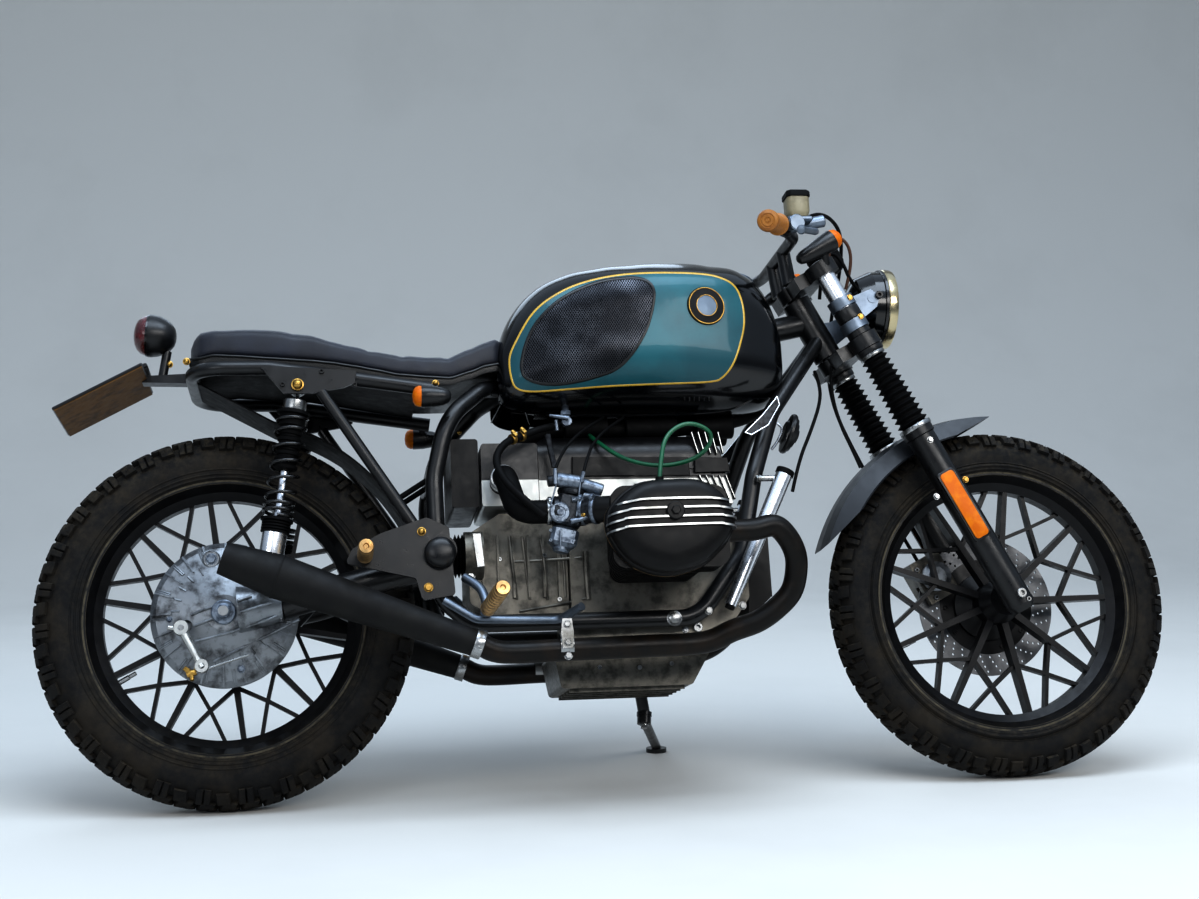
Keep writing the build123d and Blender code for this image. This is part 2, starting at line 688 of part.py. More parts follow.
def tank():
    """Fuel tank lofted through rounded sections, with a filler cap let into its top."""
    base = crank_z + tank_rise
    rows = (
        # share of length, share of half width, low, high, corner
        (0.0, 0.56, 22, 106, 34),
        (0.08, 0.80, 4, 200, 62),
        (0.27, 0.96, 0, 268, 96),
        (0.62, 1.0, 0, tank_height, 110),
        (0.86, 0.84, 2, tank_height - 22, 96),
        (1.0, 0.56, 40, 162, 46),
    )
    sections = []
    for along, across, low, high, corner in rows:
        place = Plane(origin=(tank_x(along), 0, base + (low + high) / 2), x_dir=(0, 1, 0), z_dir=(1, 0, 0))
        sections.append(place * RectangleRounded(2 * across * tank_half_width, high - low, corner))
    body = loft(sections)
    tunnel = rod(backbone_front, Vector(backbone_end) * 2 - Vector(backbone_front), 30)
    tunnel += block(tank_x(-0.04), tank_x(1.03), -30, 30, base - 47, base + 83)
    tunnel += block(tank_x(-0.05), tank_x(0.13), -75, 75, base - 40, base + 76)
    cap_place = Plane(origin=(tank_x(0.885), 0, base + tank_height - 44), z_dir=(0.26, 0, 1))
    cap = lathe([(0, -12), (cap_radius, -12), (cap_radius, 20), (cap_radius - 6, 27), (0, 30)], cap_place)
    parts["filler_cap"] = cap
    parts["tank"] = body - tunnel - cap - parts["frame"]


def seat():
    """Saddle lofted through rounded sections, with a low kick at the tank, and the pan under it."""
    rows = (
        # from the pivot, share of half width, low and high from the seat rails, corner
        (-422, 0.74, 15, 56, 16),
        (-405, 0.86, 13, 76, 22),
        (-365, 0.94, 19, seat_flat_rise, 24),
        (-275, 0.99, 11, seat_flat_rise, 24),
        (-180, 1.0, 3, 59, 22),
        (-65, 0.95, -21, 37, 22),
        (27, 0.86, -25, 35, 22),
        (83, 0.79, -3, 63, 22),
        (130, 0.75, 18, 74, 20),
    )
    sections = []
    for x, across, low, high, corner in rows:
        centre = from_pivot(x, 0, seat_rail_rise + (low + high) / 2)
        place = Plane(origin=centre, x_dir=(0, 1, 0), z_dir=(1, 0, 0))
        sections.append(place * RectangleRounded(2 * across * seat_half_width, high - low, corner))
    body = loft(sections, ruled=True)
    rail = seat_rail_rise
    top = [(-415, 10), (-347, 15), (-218, 6), (-125, -10), (-31, -26)]
    upper = [(x, rail + z) for x, z in top]
    sheet = side_view(from_pivot, *upper, *[(x, z - 6) for x, z in reversed(upper)])
    pan = plate(sheet, cradle_half_width - 12, 12 - cradle_half_width)
    pan -= parts["rear_subframe"]
    parts["seat_pan"] = max(pan.solids(), key=lambda solid: solid.volume)
    for other in ("tank", "frame", "seat_pan", "rear_subframe"):
        body -= parts[other]
    flat_low = seat_top_z - seat_flat_cut
    flat_above = block(pivot_x - 400, pivot_x - 220, -seat_half_width, seat_half_width, flat_low, flat_low + 20)
    parts["seat"] = body - flat_above


def boxes():
    """Battery box, air box, carburettors and their hoses."""
    parts["battery_box"] = plate(side_view(from_pivot, (24, 84), (24, 206), (72, 206), (72, 84)), 98, -98, 6)
    box_x = pivot_x + 77
    parts["air_box"] = plate(
        [(box_x, crank_z + 78), (box_x, crank_z + 190), (box_x + 100, crank_z + 190), (box_x + 100, crank_z + 78)],
        96, -96, 6,
    )
    hoses = []
    bodies = []
    for sign, shift in sides:
        centre = engine_x + shift
        y = sign * carb_y

        def upright(low, high, radius):
            return rod((centre - carb_back, y, crank_z + low), (centre - carb_back, y, crank_z + high), radius)

        mouth = (centre - carb_back - 28, y, crank_z + 42)
        body = rod(mouth, (centre - carb_back + 26, y, crank_z + 42), carb_radius)
        body += upright(-18, 30, carb_radius - 2)
        body += upright(50, 92, carb_radius - 2)
        body += upright(90, 98, carb_radius - 6)
        body += rod(stub_point(sign, centre, 0.0), stub_point(sign, centre, 0.55), 20)
        bodies.append(body - parts["cylinders"])
        hoses.append(tube(
            [(box_x + 34, sign * 96, crank_z + 118), (box_x + 34, sign * 164, crank_z + 118),
             (box_x + 48, y, crank_z + 42), mouth], [30, 30], carb_radius - 7,
        ))
    parts["carburettors"] = Compound(bodies)
    parts["intake_hoses"] = Compound(hoses)


def exhaust():
    """Header pipes and the cone mufflers."""
    pipes = []
    mufflers = []
    for sign, shift in sides:
        side = sign * pipe_half_spacing
        port = sign * (barrel_end_y + 26)
        joint = Vector(*from_pivot(60, side, -167))
        end = Vector(*from_pivot(-361, side + sign * muffler_splay, -14))
        length = (end - joint).length
        before = joint - (end - joint) * (40 / length)
        pipes.append(tube(
            [from_crank(shift + 98, port, -4), from_crank(240, port, -4), from_crank(248, sign * 214, -110),
             from_crank(100, side, -182), tuple(before), tuple(joint)],
            [44, 60, 70, 60], pipe_radius,
        ))
        bore = muffler_end_radius - muffler_wall
        outline = [
            (0, 0), (pipe_radius + muffler_wall, 0), (muffler_mouth_radius, 0.79 * length),
            (muffler_end_radius, length), (bore, length), (bore, length - muffler_tail), (0, length - muffler_tail),
        ]
        mufflers.append(lathe(outline, Plane(origin=joint, z_dir=end - joint)))
    parts["exhaust_pipes"] = Compound(pipes)
    parts["mufflers"] = Compound(mufflers)


def foot_controls():
    """Rider's and passenger's foot rests, brake pedal and gear lever."""
    face = -plate_y - plate_thickness
    arm = rod(from_pivot(39, 10 - plate_y, -44), from_pivot(73, -178, -104), 8)
    rider = arm + rod(from_pivot(71, -176, -108), from_pivot(88, -300, -87), peg_radius)
    passenger = rod(from_pivot(-129, face, -8), from_pivot(-129, -262, -8), peg_radius)
    parts["foot_rests"] = Compound(both_sides(rider) + both_sides(passenger))
    pedal = tube(
        [from_pivot(1, -158, -86), from_pivot(55, -158, -120), from_pivot(195, -162, -125),
         from_pivot(227, -215, -110)], [30, 20], 7,
    )
    gear = tube(
        [from_pivot(1, 158, -86), from_pivot(55, 158, -120), from_pivot(195, 162, -125),
         from_pivot(215, 215, -116)], [30, 20], 6.5,
    )
    parts["pedals"] = Compound([pedal, gear])


def front_bits():
    """Horn and the bright stays between the steering head and the engine."""
    parts["horn"] = rod(from_crank(270, -58, 212), from_crank(296, -58, 202), 38)
    stay_y = -plate_y - 10
    stay_route = [from_crank(240, stay_y, 132), from_crank(190, stay_y, 0), from_crank(134, stay_y, -94)]
    stay = tube(stay_route, [60], 10)
    stay += rod(from_crank(240, stay_y, 132), from_crank(192, -cradle_half_width - 8, 128), 9)
    stay -= parts["frame"]
    parts["engine_stays"] = Compound(both_sides(stay))


def tail():
    """Tail lamp, blank number plate on its arm, and the rear indicators."""
    lamp_place = Plane(origin=from_pivot(-453, 0, 422), z_dir=(-1, 0, 0.08))
    parts["tail_lamp"] = lathe([(0, 0), (20, 2), (34, 20), (38, 44), (36, 62), (20, 72), (0, 75)], lamp_place)
    slope = radians(28)
    direction = Vector(-cos(slope), 0, -sin(slope))
    start = Vector(*from_pivot(-504, 0, 344))
    sheet = Plane(origin=start + direction * 82, x_dir=direction, z_dir=(-sin(slope), 0, cos(slope)))
    parts["number_plate"] = sheet * Box(164, 190, 4)
    arm_outline = [(-507, 348), (-425, 352), (-405, 342), (-405, 332), (-429, 334), (-511, 336)]
    arm = plate(side_view(from_pivot, *arm_outline), 14, -14)
    arm -= sheet * Pos(-1, 0, 12) * Box(166, 190, 20)
    arm += rod(from_pivot(-477, 0, 348), from_pivot(-469, 0, 396), 8)
    for other in ("rear_subframe", "seat", "seat_pan", "rear_mudguard", "number_plate", "tail_lamp"):
        arm -= parts[other]
    parts["plate_arm"] = max(arm.solids(), key=lambda solid: solid.volume)
    indicator = rod(from_pivot(24, -162, 267), from_pivot(-43, -162, 268), 16, 20)
    indicator += rod(from_pivot(-13, -162, 268), from_pivot(-13, -cradle_half_width - 2, 289), 5)
    indicator -= parts["rear_subframe"]
    indicator = max(indicator.solids(), key=lambda solid: solid.volume)
    parts["rear_indicators"] = Compound(both_sides(indicator))


# Fork and what turns with it

def fork_side(sign):
    """Plane with its z axis along one fork leg."""
    return Plane(origin=in_fork(0, sign * leg_y, 0), x_dir=fork.x_dir, z_dir=fork.z_dir)


def fork_parts():
    """Legs, gaiters, stanchions and yokes."""
    leg_profile = [
        (0, -30), (leg_radius - 6, -30), (leg_radius, -18), (leg_radius, leg_length - 20),
        (leg_radius + 3, leg_length - 18), (leg_radius + 3, leg_length), (0, leg_length),
    ]
    gaiter_top = leg_length + gaiter_length
    fold_length = gaiter_length / gaiter_folds
    bore = stanchion_radius + 0.2
    gaiter_profile = [(bore, leg_length + 0.2)]
    for fold in range(gaiter_folds):
        s = leg_length + 0.2 + fold * fold_length
        swell = leg_radius + 3 - 4.0 * fold / gaiter_folds
        gaiter_profile += [(swell - 5, s), (swell, s + fold_length / 2)]
    gaiter_profile += [(stanchion_radius + 4, gaiter_top), (bore, gaiter_top)]
    axle_room = rod((wheelbase, -200, front_axle_z), (wheelbase, 200, front_axle_z), axle_radius + 0.2)
    signs = (-1, 1)
    parts["fork_legs"] = Compound([lathe(leg_profile, fork_side(sign)) - axle_room for sign in signs])
    parts["fork_gaiters"] = Compound([lathe(gaiter_profile, fork_side(sign)) for sign in signs])

    def along_leg(sign, low, high, radius):
        return rod(in_fork(0, sign * leg_y, low), in_fork(0, sign * leg_y, high), radius)

    tube_low = leg_length + 0.3
    parts["fork_tubes"] = Compound([along_leg(sign, tube_low, stanchion_top, stanchion_radius) for sign in signs])
    yokes = []
    for s in (lower_yoke_s, upper_yoke_s):
        place = Plane(origin=in_fork(0, 0, s - yoke_thickness / 2), x_dir=fork.x_dir, z_dir=fork.z_dir)
        bar = Sketch() + [
            Pos(-fork_offset / 2, 0) * Rectangle(fork_offset + 24, 2 * leg_y - 20),
            Pos(0, leg_y) * Circle(29),
            Pos(0, -leg_y) * Circle(29),
            Pos(-fork_offset, 0) * Circle(26),
        ]
        yokes.append(place * extrude(bar, amount=yoke_thickness))
    stem = rod(from_head(0, lower_yoke_s), from_head(0, upper_yoke_s), 14)
    bores = [along_leg(sign, lower_yoke_s - 40, stanchion_top + 5, stanchion_radius + 0.1) for sign in signs]
    parts["fork_yokes"] = Part() + yokes + [stem] - bores


def fender():
    """Front fender, cut to a point at each end and bolted between the fork legs."""
    outer = front_tyre_radius + fender_gap + fender_wall
    half = fender_half_width
    skin = [(outer - 36, half), (outer - 6, half - 14), (outer, 18)]
    inside = [(r - fender_wall, y - 1) for r, y in reversed(skin)]
    profile = make_face(Polyline(
        *skin, *[(r, -y) for r, y in reversed(skin)],
        *[(r, -y) for r, y in reversed(inside)], *inside, close=True,
    ))
    front_angle, rear_angle = 87.0, 164.0
    arc = Rot(0, -front_angle, 0) * revolve(profile, Axis.Y, front_angle - rear_angle)
    for tip, inward in ((front_angle, 1), (rear_angle, -1)):
        cutter = [polar(outer + 3, tip), polar(outer - 38, tip + 17 * inward), polar(outer - 80, tip + 17 * inward),
                  polar(outer - 80, tip - 8 * inward), polar(outer + 3, tip - 8 * inward)]
        arc -= plate(cutter, 80, -80)
    guard = Pos(wheelbase, 0, front_axle_z) * arc
    for sign in (-1, 1):
        lug_s = outer - 26
        lug_end = in_fork(0, sign * (leg_y - leg_radius + 2), lug_s)
        guard += rod(in_fork(0, sign * (half - 5), lug_s), lug_end, 9)
    parts["front_fender"] = guard - parts["fork_legs"]


def brake_calliper():
    """Calliper on the left leg, round the disc, with its round piston housing."""
    body = fork * (Pos(-66, disc_plane_y + 6, 96) * Box(64, 58, 84))
    body += rod(in_fork(-66, 30, 96), in_fork(-66, 104, 96), 28)
    gap = disc_thickness + 10
    body -= lathe_y(
        [(0, disc_plane_y - gap / 2), (disc_radius + 6, disc_plane_y - gap / 2),
         (disc_radius + 6, disc_plane_y + gap / 2), (0, disc_plane_y + gap / 2)],
        wheelbase, front_axle_z,
    )
    body -= lathe_y([(0, 0), (hub_radius + 32, 0), (hub_radius + 32, 200), (0, 200)], wheelbase, front_axle_z)
    tab = fork * (Pos(-30, leg_y - 4, 110) * Box(24, 20, 40))
    parts["brake_calliper"] = body + tab - parts["fork_legs"]


def lamps():
    """Headlamp with its ears, the gauge and the front indicators."""
    place = Plane(origin=in_fork(39, 0, 621), z_dir=(1, 0, -0.05))
    rim = lamp_radius
    parts["headlamp"] = lathe(
        [(0, 0), (30, 2), (rim - 18, 16), (rim - 4, 44), (rim - 2, 66), (rim, 68), (rim, 82), (rim - 8, 82),
         (rim - 8, 74), (0, 74)],
        place,
    )
    glass = rim - 8.3
    parts["headlamp_glass"] = lathe(
        [(0, 74.3), (glass, 74.3), (glass, 82), (glass - 18, 92), (glass - 42, 98), (0, 100)], place,
    )
    bore = stanchion_radius + 0.1
    ears = []
    for sign in (-1, 1):
        ear = Part()
        for low in (560, 607):
            ear += lathe([(bore, low), (25, low), (25, low + 20), (bore, low + 20)], fork_side(sign))
        corners = ((5, 630), (11, 573), (61, 583), (76, 598), (68, 618), (31, 621))
        outline = [in_fork(n, 0, s) for n, s in corners]
        ear += plate([(x, z) for x, y, z in outline], sign * 84 + 3, sign * 84 - 3)
        ear += rod(in_fork(61, sign * 60, 601), in_fork(61, sign * 88, 601), 9)
        ear -= rod(in_fork(0, sign * leg_y, 540), in_fork(0, sign * leg_y, 650), bore)
        ears.append(ear - parts["headlamp"])
    parts["lamp_ears"] = Compound(ears)
    gauge_place = Plane(origin=in_fork(57, 0, 686), z_dir=(-0.5, 0, 0.87))
    gauge = lathe([(0, 0), (20, 2), (31, 16), (32, 44), (29, 48), (0, 48)], gauge_place)
    gauge += rod(in_fork(8, 0, upper_yoke_s), in_fork(64, 0, 702), 8)
    parts["gauge"] = gauge - parts["fork_yokes"]
    indicator = rod(in_fork(-46, -128, 721), in_fork(52, -128, 727), 13, 20)
    indicator += rod(in_fork(4, -leg_y - 22, upper_yoke_s), in_fork(12, -128, 722), 7)
    indicator -= parts["fork_yokes"]
    indicator = max(indicator.solids(), key=lambda solid: solid.volume)
    parts["front_indicators"] = Compound(both_sides(indicator))
    reflector = fork * (Pos(-8, -leg_y - leg_radius - 3.2, 187) * Box(36, 6, 140))
    parts["fork_reflectors"] = Compound(both_sides(reflector))


def handlebar():
    """Bar on its risers, grips, levers, the brake's master cylinder and its hose to the calliper."""
    bar_n, bar_s = -26, 764
    bend = Vector(*in_fork(-78, -220, 778))
    end = Vector(*in_fork(-140, -grip_end_y, 771))
    along = (end - bend).normalized()
    right = [tuple(end - along * 2), tuple(bend), in_fork(bar_n, -120, bar_s)]
    left = [(x, -y, z) for x, y, z in reversed(right)]
    bar = tube(right + left, [60, 60, 60, 60], bar_radius)
    yoke_top = upper_yoke_s + yoke_thickness / 2
    risers = [
        rod(in_fork(-fork_offset - 8, sign * 40, yoke_top), in_fork(bar_n, sign * 40, bar_s), 13) for sign in (-1, 1)
    ]
    parts["handlebar"] = Part() + [bar] + risers - parts["fork_yokes"]
    grip = rod(bend + along * 14, end, grip_radius) - rod(bend, end - along * 2, bar_radius)
    parts["grips"] = Compound(both_sides(grip))
    master = rod(in_fork(-52, -196, 771), in_fork(-50, -232, 765), 17)
    reservoir = Plane(origin=in_fork(-40, -214, 774)) * extrude(RectangleRounded(44, 44, 8), amount=48)
    lever = tube([in_fork(-49, -205, 763), in_fork(-18, -212, 736), in_fork(-93, -330, 731)], [20], 6)
    clutch = tube([in_fork(-52, 205, 763), in_fork(-18, 212, 736), in_fork(-93, 330, 731)], [20], 6)
    pivot = rod(in_fork(-70, 212, 778), in_fork(-46, 212, 760), 12)
    brake = master + reservoir + lever - parts["handlebar"] - parts["grips"]
    parts["hand_controls"] = Compound([brake, pivot + clutch - parts["handlebar"] - parts["grips"]])
    route = [in_fork(*point) for point in (
        (-44, -193, 768), (-12, -178, 776), (32, -146, 778), (68, -98, 766), (92, -46, 746), (99, 10, 722),
        (90, 62, 688), (64, 100, 648), (34, 124, 602), (6, 135, 556), (-20, 133, 506), (-40, 118, 450),
        (-52, 100, 384), (-60, 86, 312), (-64, 76, 236), (-66, 70, 138),
    )]
    bends = loose_bends(route)
    print("brake hose bends", [round(bend) for bend in bends])
    hose = tube(route, bends, hose_radius)
    parts["brake_hose"] = hose - parts["hand_controls"] - parts["brake_calliper"]


def side_stand():
    """Leg with a foot that reaches the floor on the left."""
    eye = Vector(stand_eye)
    axis = Vector(stand_axis)
    foot_centre = Vector(stand_foot_x, stand_foot_y, stand_foot_z)
    floor_up = Vector(0, -sin(lean_angle), cos(lean_angle))
    foot_rise = floor_up * (stand_foot_height / 2)
    foot = rod(foot_centre - foot_rise, foot_centre + foot_rise, 20)
    leg = rod(eye, foot_centre + floor_up * 6, stand_radius)
    bore = rod(eye - axis * 20, eye + axis * 20, 5.3)
    above = rod(eye + axis * 7, eye + axis * 30, 40)
    parts["side_stand"] = leg + foot + rod(eye - axis * 7, eye + axis * 7, 13) - bore - above


wheels()
frame()
rear_subframe()
side_plates()
mudguard()
crankcase()
cylinders()
swing_arm()
shocks()
tank()
seat()
boxes()
exhaust()
foot_controls()
front_bits()
tail()
fork_parts()
fender()
brake_calliper()
lamps()
handlebar()
side_stand()

os.makedirs("parts", exist_ok=True)
leaned = {name: piece.rotate(Axis.X, -lean) for name, piece in parts.items()}
span = Compound(list(leaned.values())).bounding_box()
centre_x = (span.min.X + span.max.X) / 2
centre_y = (span.min.Y + span.max.Y) / 2
for name, piece in leaned.items():
    export_step(piece.moved(Location((-centre_x, -centre_y, 0))), f"parts/{name}.step")
print("nodes", len(parts), "origin shift", round(centre_x, 3), round(centre_y, 3), "lowest", round(span.min.Z, 3))
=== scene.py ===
"""Looks of a cafe racer motorcycle with a flat twin engine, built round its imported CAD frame.

Sizes are millimetres on the upright bike: +X forward, +Y to its left, +Z up, with the origin on the ground
under the rear axle. The workshop leans every piece over onto the side stand, into the frame's metres.
"""
from __future__ import annotations

import json
import logging
import math
import random
from dataclasses import dataclass
from enum import Enum
from typing import Sequence

import bmesh
import bpy
from mathutils import Matrix, Vector, noise
from mathutils.bvhtree import BVHTree
from mathutils.geometry import delaunay_2d_cdt

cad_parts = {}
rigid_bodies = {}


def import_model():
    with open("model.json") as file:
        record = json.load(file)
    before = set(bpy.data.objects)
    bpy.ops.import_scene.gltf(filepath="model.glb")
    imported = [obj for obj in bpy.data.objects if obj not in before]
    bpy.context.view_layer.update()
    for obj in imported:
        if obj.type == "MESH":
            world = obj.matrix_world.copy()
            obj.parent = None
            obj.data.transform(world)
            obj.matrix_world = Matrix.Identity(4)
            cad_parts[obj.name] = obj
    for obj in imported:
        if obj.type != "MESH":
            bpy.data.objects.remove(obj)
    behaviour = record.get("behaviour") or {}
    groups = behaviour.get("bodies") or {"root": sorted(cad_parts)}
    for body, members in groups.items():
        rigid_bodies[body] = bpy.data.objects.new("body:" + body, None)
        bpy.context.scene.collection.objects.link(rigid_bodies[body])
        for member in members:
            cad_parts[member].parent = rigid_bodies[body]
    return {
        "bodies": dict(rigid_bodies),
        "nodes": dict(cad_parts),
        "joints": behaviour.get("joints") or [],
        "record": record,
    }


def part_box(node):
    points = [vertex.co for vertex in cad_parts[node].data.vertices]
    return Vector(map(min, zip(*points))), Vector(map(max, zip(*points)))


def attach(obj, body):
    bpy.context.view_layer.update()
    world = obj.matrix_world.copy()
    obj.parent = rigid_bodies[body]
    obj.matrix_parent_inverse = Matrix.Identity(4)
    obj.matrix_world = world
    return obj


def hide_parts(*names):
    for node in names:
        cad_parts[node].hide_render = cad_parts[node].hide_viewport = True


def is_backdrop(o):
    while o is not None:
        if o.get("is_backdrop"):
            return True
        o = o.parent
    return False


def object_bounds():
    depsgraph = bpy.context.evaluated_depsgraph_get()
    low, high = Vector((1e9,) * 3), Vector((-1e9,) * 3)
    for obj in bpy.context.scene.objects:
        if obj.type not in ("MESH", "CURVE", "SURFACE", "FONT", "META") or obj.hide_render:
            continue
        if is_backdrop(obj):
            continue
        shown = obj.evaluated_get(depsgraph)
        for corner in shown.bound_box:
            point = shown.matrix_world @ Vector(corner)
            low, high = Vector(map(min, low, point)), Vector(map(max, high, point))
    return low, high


LOG = logging.getLogger("cafe_racer")
Point = Sequence[float]
LEAN = math.radians(14)
RAKE = math.radians(27)
RIGHT = Vector((0, -1, 0))
# corners closer than this are one, and edges shorter than the next go, in metres
WELD = 0.00002
SHORTEST = 0.000005
# edges of an all-round smooth piece shade sharp beyond this turn, in degrees
SMOOTH = 60


class Pattern(Enum):
    """Fine relief of a surface."""

    NONE = "none"
    CAST = "cast"
    LEATHER = "leather"
    BRUSHED = "brushed"


class Head(Enum):
    """Shape of a bolt's head."""

    HEX = "hex"
    SOCKET = "socket"
    DOME = "dome"


def linear(colour: str) -> tuple[float, float, float, float]:
    """Turn an sRGB hex colour into linear light.

    Args:
        colour: six hex digits after a hash.

    Returns:
        Linear red, green and blue, and an alpha of 1.
    """
    parts = [int(colour[i:i + 2], 16) / 255 for i in (1, 3, 5)]
    light = [p / 12.92 if p <= 0.04045 else ((p + 0.055) / 1.055) ** 2.4 for p in parts]
    return (light[0], light[1], light[2], 1.0)


def add_node(tree: bpy.types.NodeTree, kind: str, settings: dict | None = None, **links) -> bpy.types.Node:
    """Add one node with its settings and links.

    Args:
        tree: the material's node tree.
        kind: the node's type without ShaderNode.
        settings: attributes of the node to set.
        links: values or output sockets for its inputs, by name with _ for a space, or by i and number.

    Returns:
        The new node.
    """
    node = tree.nodes.new("ShaderNode" + kind)
    for key, value in (settings or {}).items():
        setattr(node, key, value)
    for key, value in links.items():
        numbered = key[0] == "i" and key[1:].isdigit()
        socket = node.inputs[int(key[1:]) if numbered else key.replace("_", " ")]
        if isinstance(value, bpy.types.NodeSocket):
            tree.links.new(value, socket)
        else:
            socket.default_value = value
    return node


@dataclass(frozen=True)
class Finish:
    """A surface: its material, how it was made, and how it has aged."""

    name: str
    colour: str
    rough: float = 0.5
    metallic: float = 0.0
    ior: float = 1.5
    coat: float = 0.0
    coat_rough: float = 0.04
    aged: str = ""
    aged_share: float = 0.35
    aged_mm: float = 45.0
    rough_spread: float = 0.08
    pattern: Pattern = Pattern.NONE
    grain_mm: float = 1.5
    grain_depth: float = 0.05
    transmission: float = 0.0
    sheen: float = 0.0
    dust: str = ""
    dust_amount: float = 0.0

    def material(self) -> bpy.types.Material:
        """Build or fetch the procedural material.

        Returns:
            The material with its nodes.
        """
        known = bpy.data.materials.get(self.name)
        if known:
            return known
        made = bpy.data.materials.new(self.name)
        made.use_nodes = True
        tree = made.node_tree
        tree.nodes.clear()
        where = add_node(tree, "TexCoord").outputs["Object"]
        patch = add_node(
            tree, "TexNoise", Vector=where, Scale=1000 / self.aged_mm, Detail=6.0, Roughness=0.62,
        ).outputs["Fac"]
        low = 1.0 - self.aged_share
        share = add_node(
            tree, "MapRange", i0=patch, i1=0.5 + 0.3 * (low - 0.5) - 0.06, i2=0.5 + 0.3 * (low - 0.5) + 0.14,
        ).outputs[0]
        plain = linear(self.colour)
        tinted = add_node(tree, "Mix", {"data_type": "RGBA"}, i0=share, i6=plain,
                          i7=linear(self.aged or self.colour))
        colour = tinted.outputs[2]
        if self.dust:
            up = add_node(tree, "SeparateXYZ",
                          Vector=add_node(tree, "NewGeometry").outputs["Normal"]).outputs["Z"]
            lying = add_node(tree, "MapRange", i0=up, i1=0.15, i2=0.95, i3=0.15, i4=1.0).outputs[0]
            grit = add_node(tree, "TexNoise", Vector=where, Scale=90.0, Detail=5.0,
                            Roughness=0.7).outputs["Fac"]
            spots = add_node(tree, "MapRange", i0=grit, i1=0.42, i2=0.72, i3=0.0,
                             i4=self.dust_amount).outputs[0]
            amount = add_node(tree, "Math", {"operation": "MULTIPLY"}, i0=lying, i1=spots).outputs[0]
            colour = add_node(
                tree, "Mix", {"data_type": "RGBA"}, i0=amount, i6=colour, i7=linear(self.dust),
            ).outputs[2]
        fine = add_node(
            tree, "TexNoise", Vector=where, Scale=2600 / self.aged_mm, Detail=4.0, Roughness=0.6,
        ).outputs["Fac"]
        rough = add_node(
            tree, "MapRange", i0=fine, i1=0.3, i2=0.7, i3=max(0.02, self.rough - self.rough_spread),
            i4=min(1.0, self.rough + self.rough_spread),
        ).outputs[0]
        shader = add_node(
            tree, "BsdfPrincipled", Base_Color=colour, Roughness=rough, Metallic=self.metallic, IOR=self.ior,
            Coat_Weight=self.coat, Coat_Roughness=self.coat_rough, Transmission_Weight=self.transmission,
            Sheen_Weight=self.sheen,
        )
        relief = self.relief(tree, where)
        if relief is not None:
            bump = add_node(tree, "Bump", Height=relief, Distance=self.grain_depth / 1000, Strength=1.0)
            tree.links.new(bump.outputs[0], shader.inputs["Normal"])
        add_node(tree, "OutputMaterial", Surface=shader.outputs[0])
        self.finish_off(tree, shader, where)
        return made

    def relief(self, tree: bpy.types.NodeTree, where: bpy.types.NodeSocket) -> bpy.types.NodeSocket | None:
        """Height of the surface's grain.

        Args:
            tree: the material's node tree.
            where: object coordinates in metres.

        Returns:
            The height socket, or None for a plain surface.
        """
        scale = 1000 / self.grain_mm
        if self.pattern is Pattern.CAST:
            return add_node(tree, "TexNoise", Vector=where, Scale=scale, Detail=3.0,
                            Roughness=0.7).outputs["Fac"]
        if self.pattern is Pattern.LEATHER:
            cells = add_node(tree, "TexVoronoi", {"feature": "DISTANCE_TO_EDGE"}, Vector=where, Scale=scale)
            return add_node(tree, "MapRange", i0=cells.outputs["Distance"], i1=0.0, i2=0.12).outputs[0]
        if self.pattern is Pattern.BRUSHED:
            drawn = add_node(tree, "Mapping", Vector=where, Scale=(0.06, 1.0, 1.0)).outputs[0]
            return add_node(tree, "TexNoise", Vector=drawn, Scale=scale, Detail=2.0).outputs["Fac"]
        return None

    def finish_off(self, tree: bpy.types.NodeTree, shader: bpy.types.Node,
                   where: bpy.types.NodeSocket) -> None:
        """Add what only one kind of surface has; plain finishes have nothing more."""


@dataclass(frozen=True)
class WireMesh(Finish):
    """Woven steel mesh over a dark recess: a diamond lattice of bright wires, with a painted reflection that
    brightens them in cloudy patches.
    """

    pitch_mm: float = 4.4

    def finish_off(self, tree: bpy.types.NodeTree, shader: bpy.types.Node,
                   where: bpy.types.NodeSocket) -> None:
        """Colour the holes and the wires, with a painted reflection on the wires in cloudy patches.

        Args:
            tree: the material's node tree.
            shader: its surface.
            where: object coordinates in metres.
        """
        turned = add_node(tree, "Mapping", Vector=where, Scale=(1000 / self.pitch_mm,) * 3).outputs[0]
        axes = add_node(tree, "SeparateXYZ", Vector=turned)
        waves = []
        for sign in (1.0, -1.0):
            slope = add_node(tree, "Math", {"operation": "MULTIPLY"}, i0=axes.outputs["Z"],
                             i1=0.62 * sign).outputs[0]
            line = add_node(tree, "Math", {"operation": "ADD"}, i0=axes.outputs["X"], i1=slope).outputs[0]
            turn = add_node(tree, "Math", {"operation": "MULTIPLY"}, i0=line, i1=2 * math.pi).outputs[0]
            waves.append(add_node(tree, "Math", {"operation": "COSINE"}, i0=turn).outputs[0])
        top = add_node(tree, "Math", {"operation": "MAXIMUM"}, i0=waves[0], i1=waves[1]).outputs[0]
        wire = add_node(tree, "MapRange", i0=top, i1=0.35, i2=0.8).outputs[0]
        # painted reflection: cloudy patches in which the wires are brighter, standing in for light they
        # reflect
        reflection_cloud = add_node(tree, "TexNoise", Vector=where, Scale=14.0, Detail=2.0).outputs["Fac"]
        painted_reflection = add_node(tree, "MapRange", i0=reflection_cloud, i1=0.42, i2=0.7, i3=0.25, i4=1.0).outputs[0]
        shine = add_node(tree, "Math", {"operation": "MULTIPLY"}, i0=wire, i1=painted_reflection).outputs[0]
        colour = add_node(
            tree, "Mix", {"data_type": "RGBA"}, i0=shine, i6=linear("#0c0d11"), i7=linear(self.colour),
        ).outputs[2]
        tree.links.new(colour, shader.inputs["Base Color"])
        bump = add_node(tree, "Bump", Height=wire, Distance=0.0012, Strength=1.0)
        tree.links.new(bump.outputs[0], shader.inputs["Normal"])


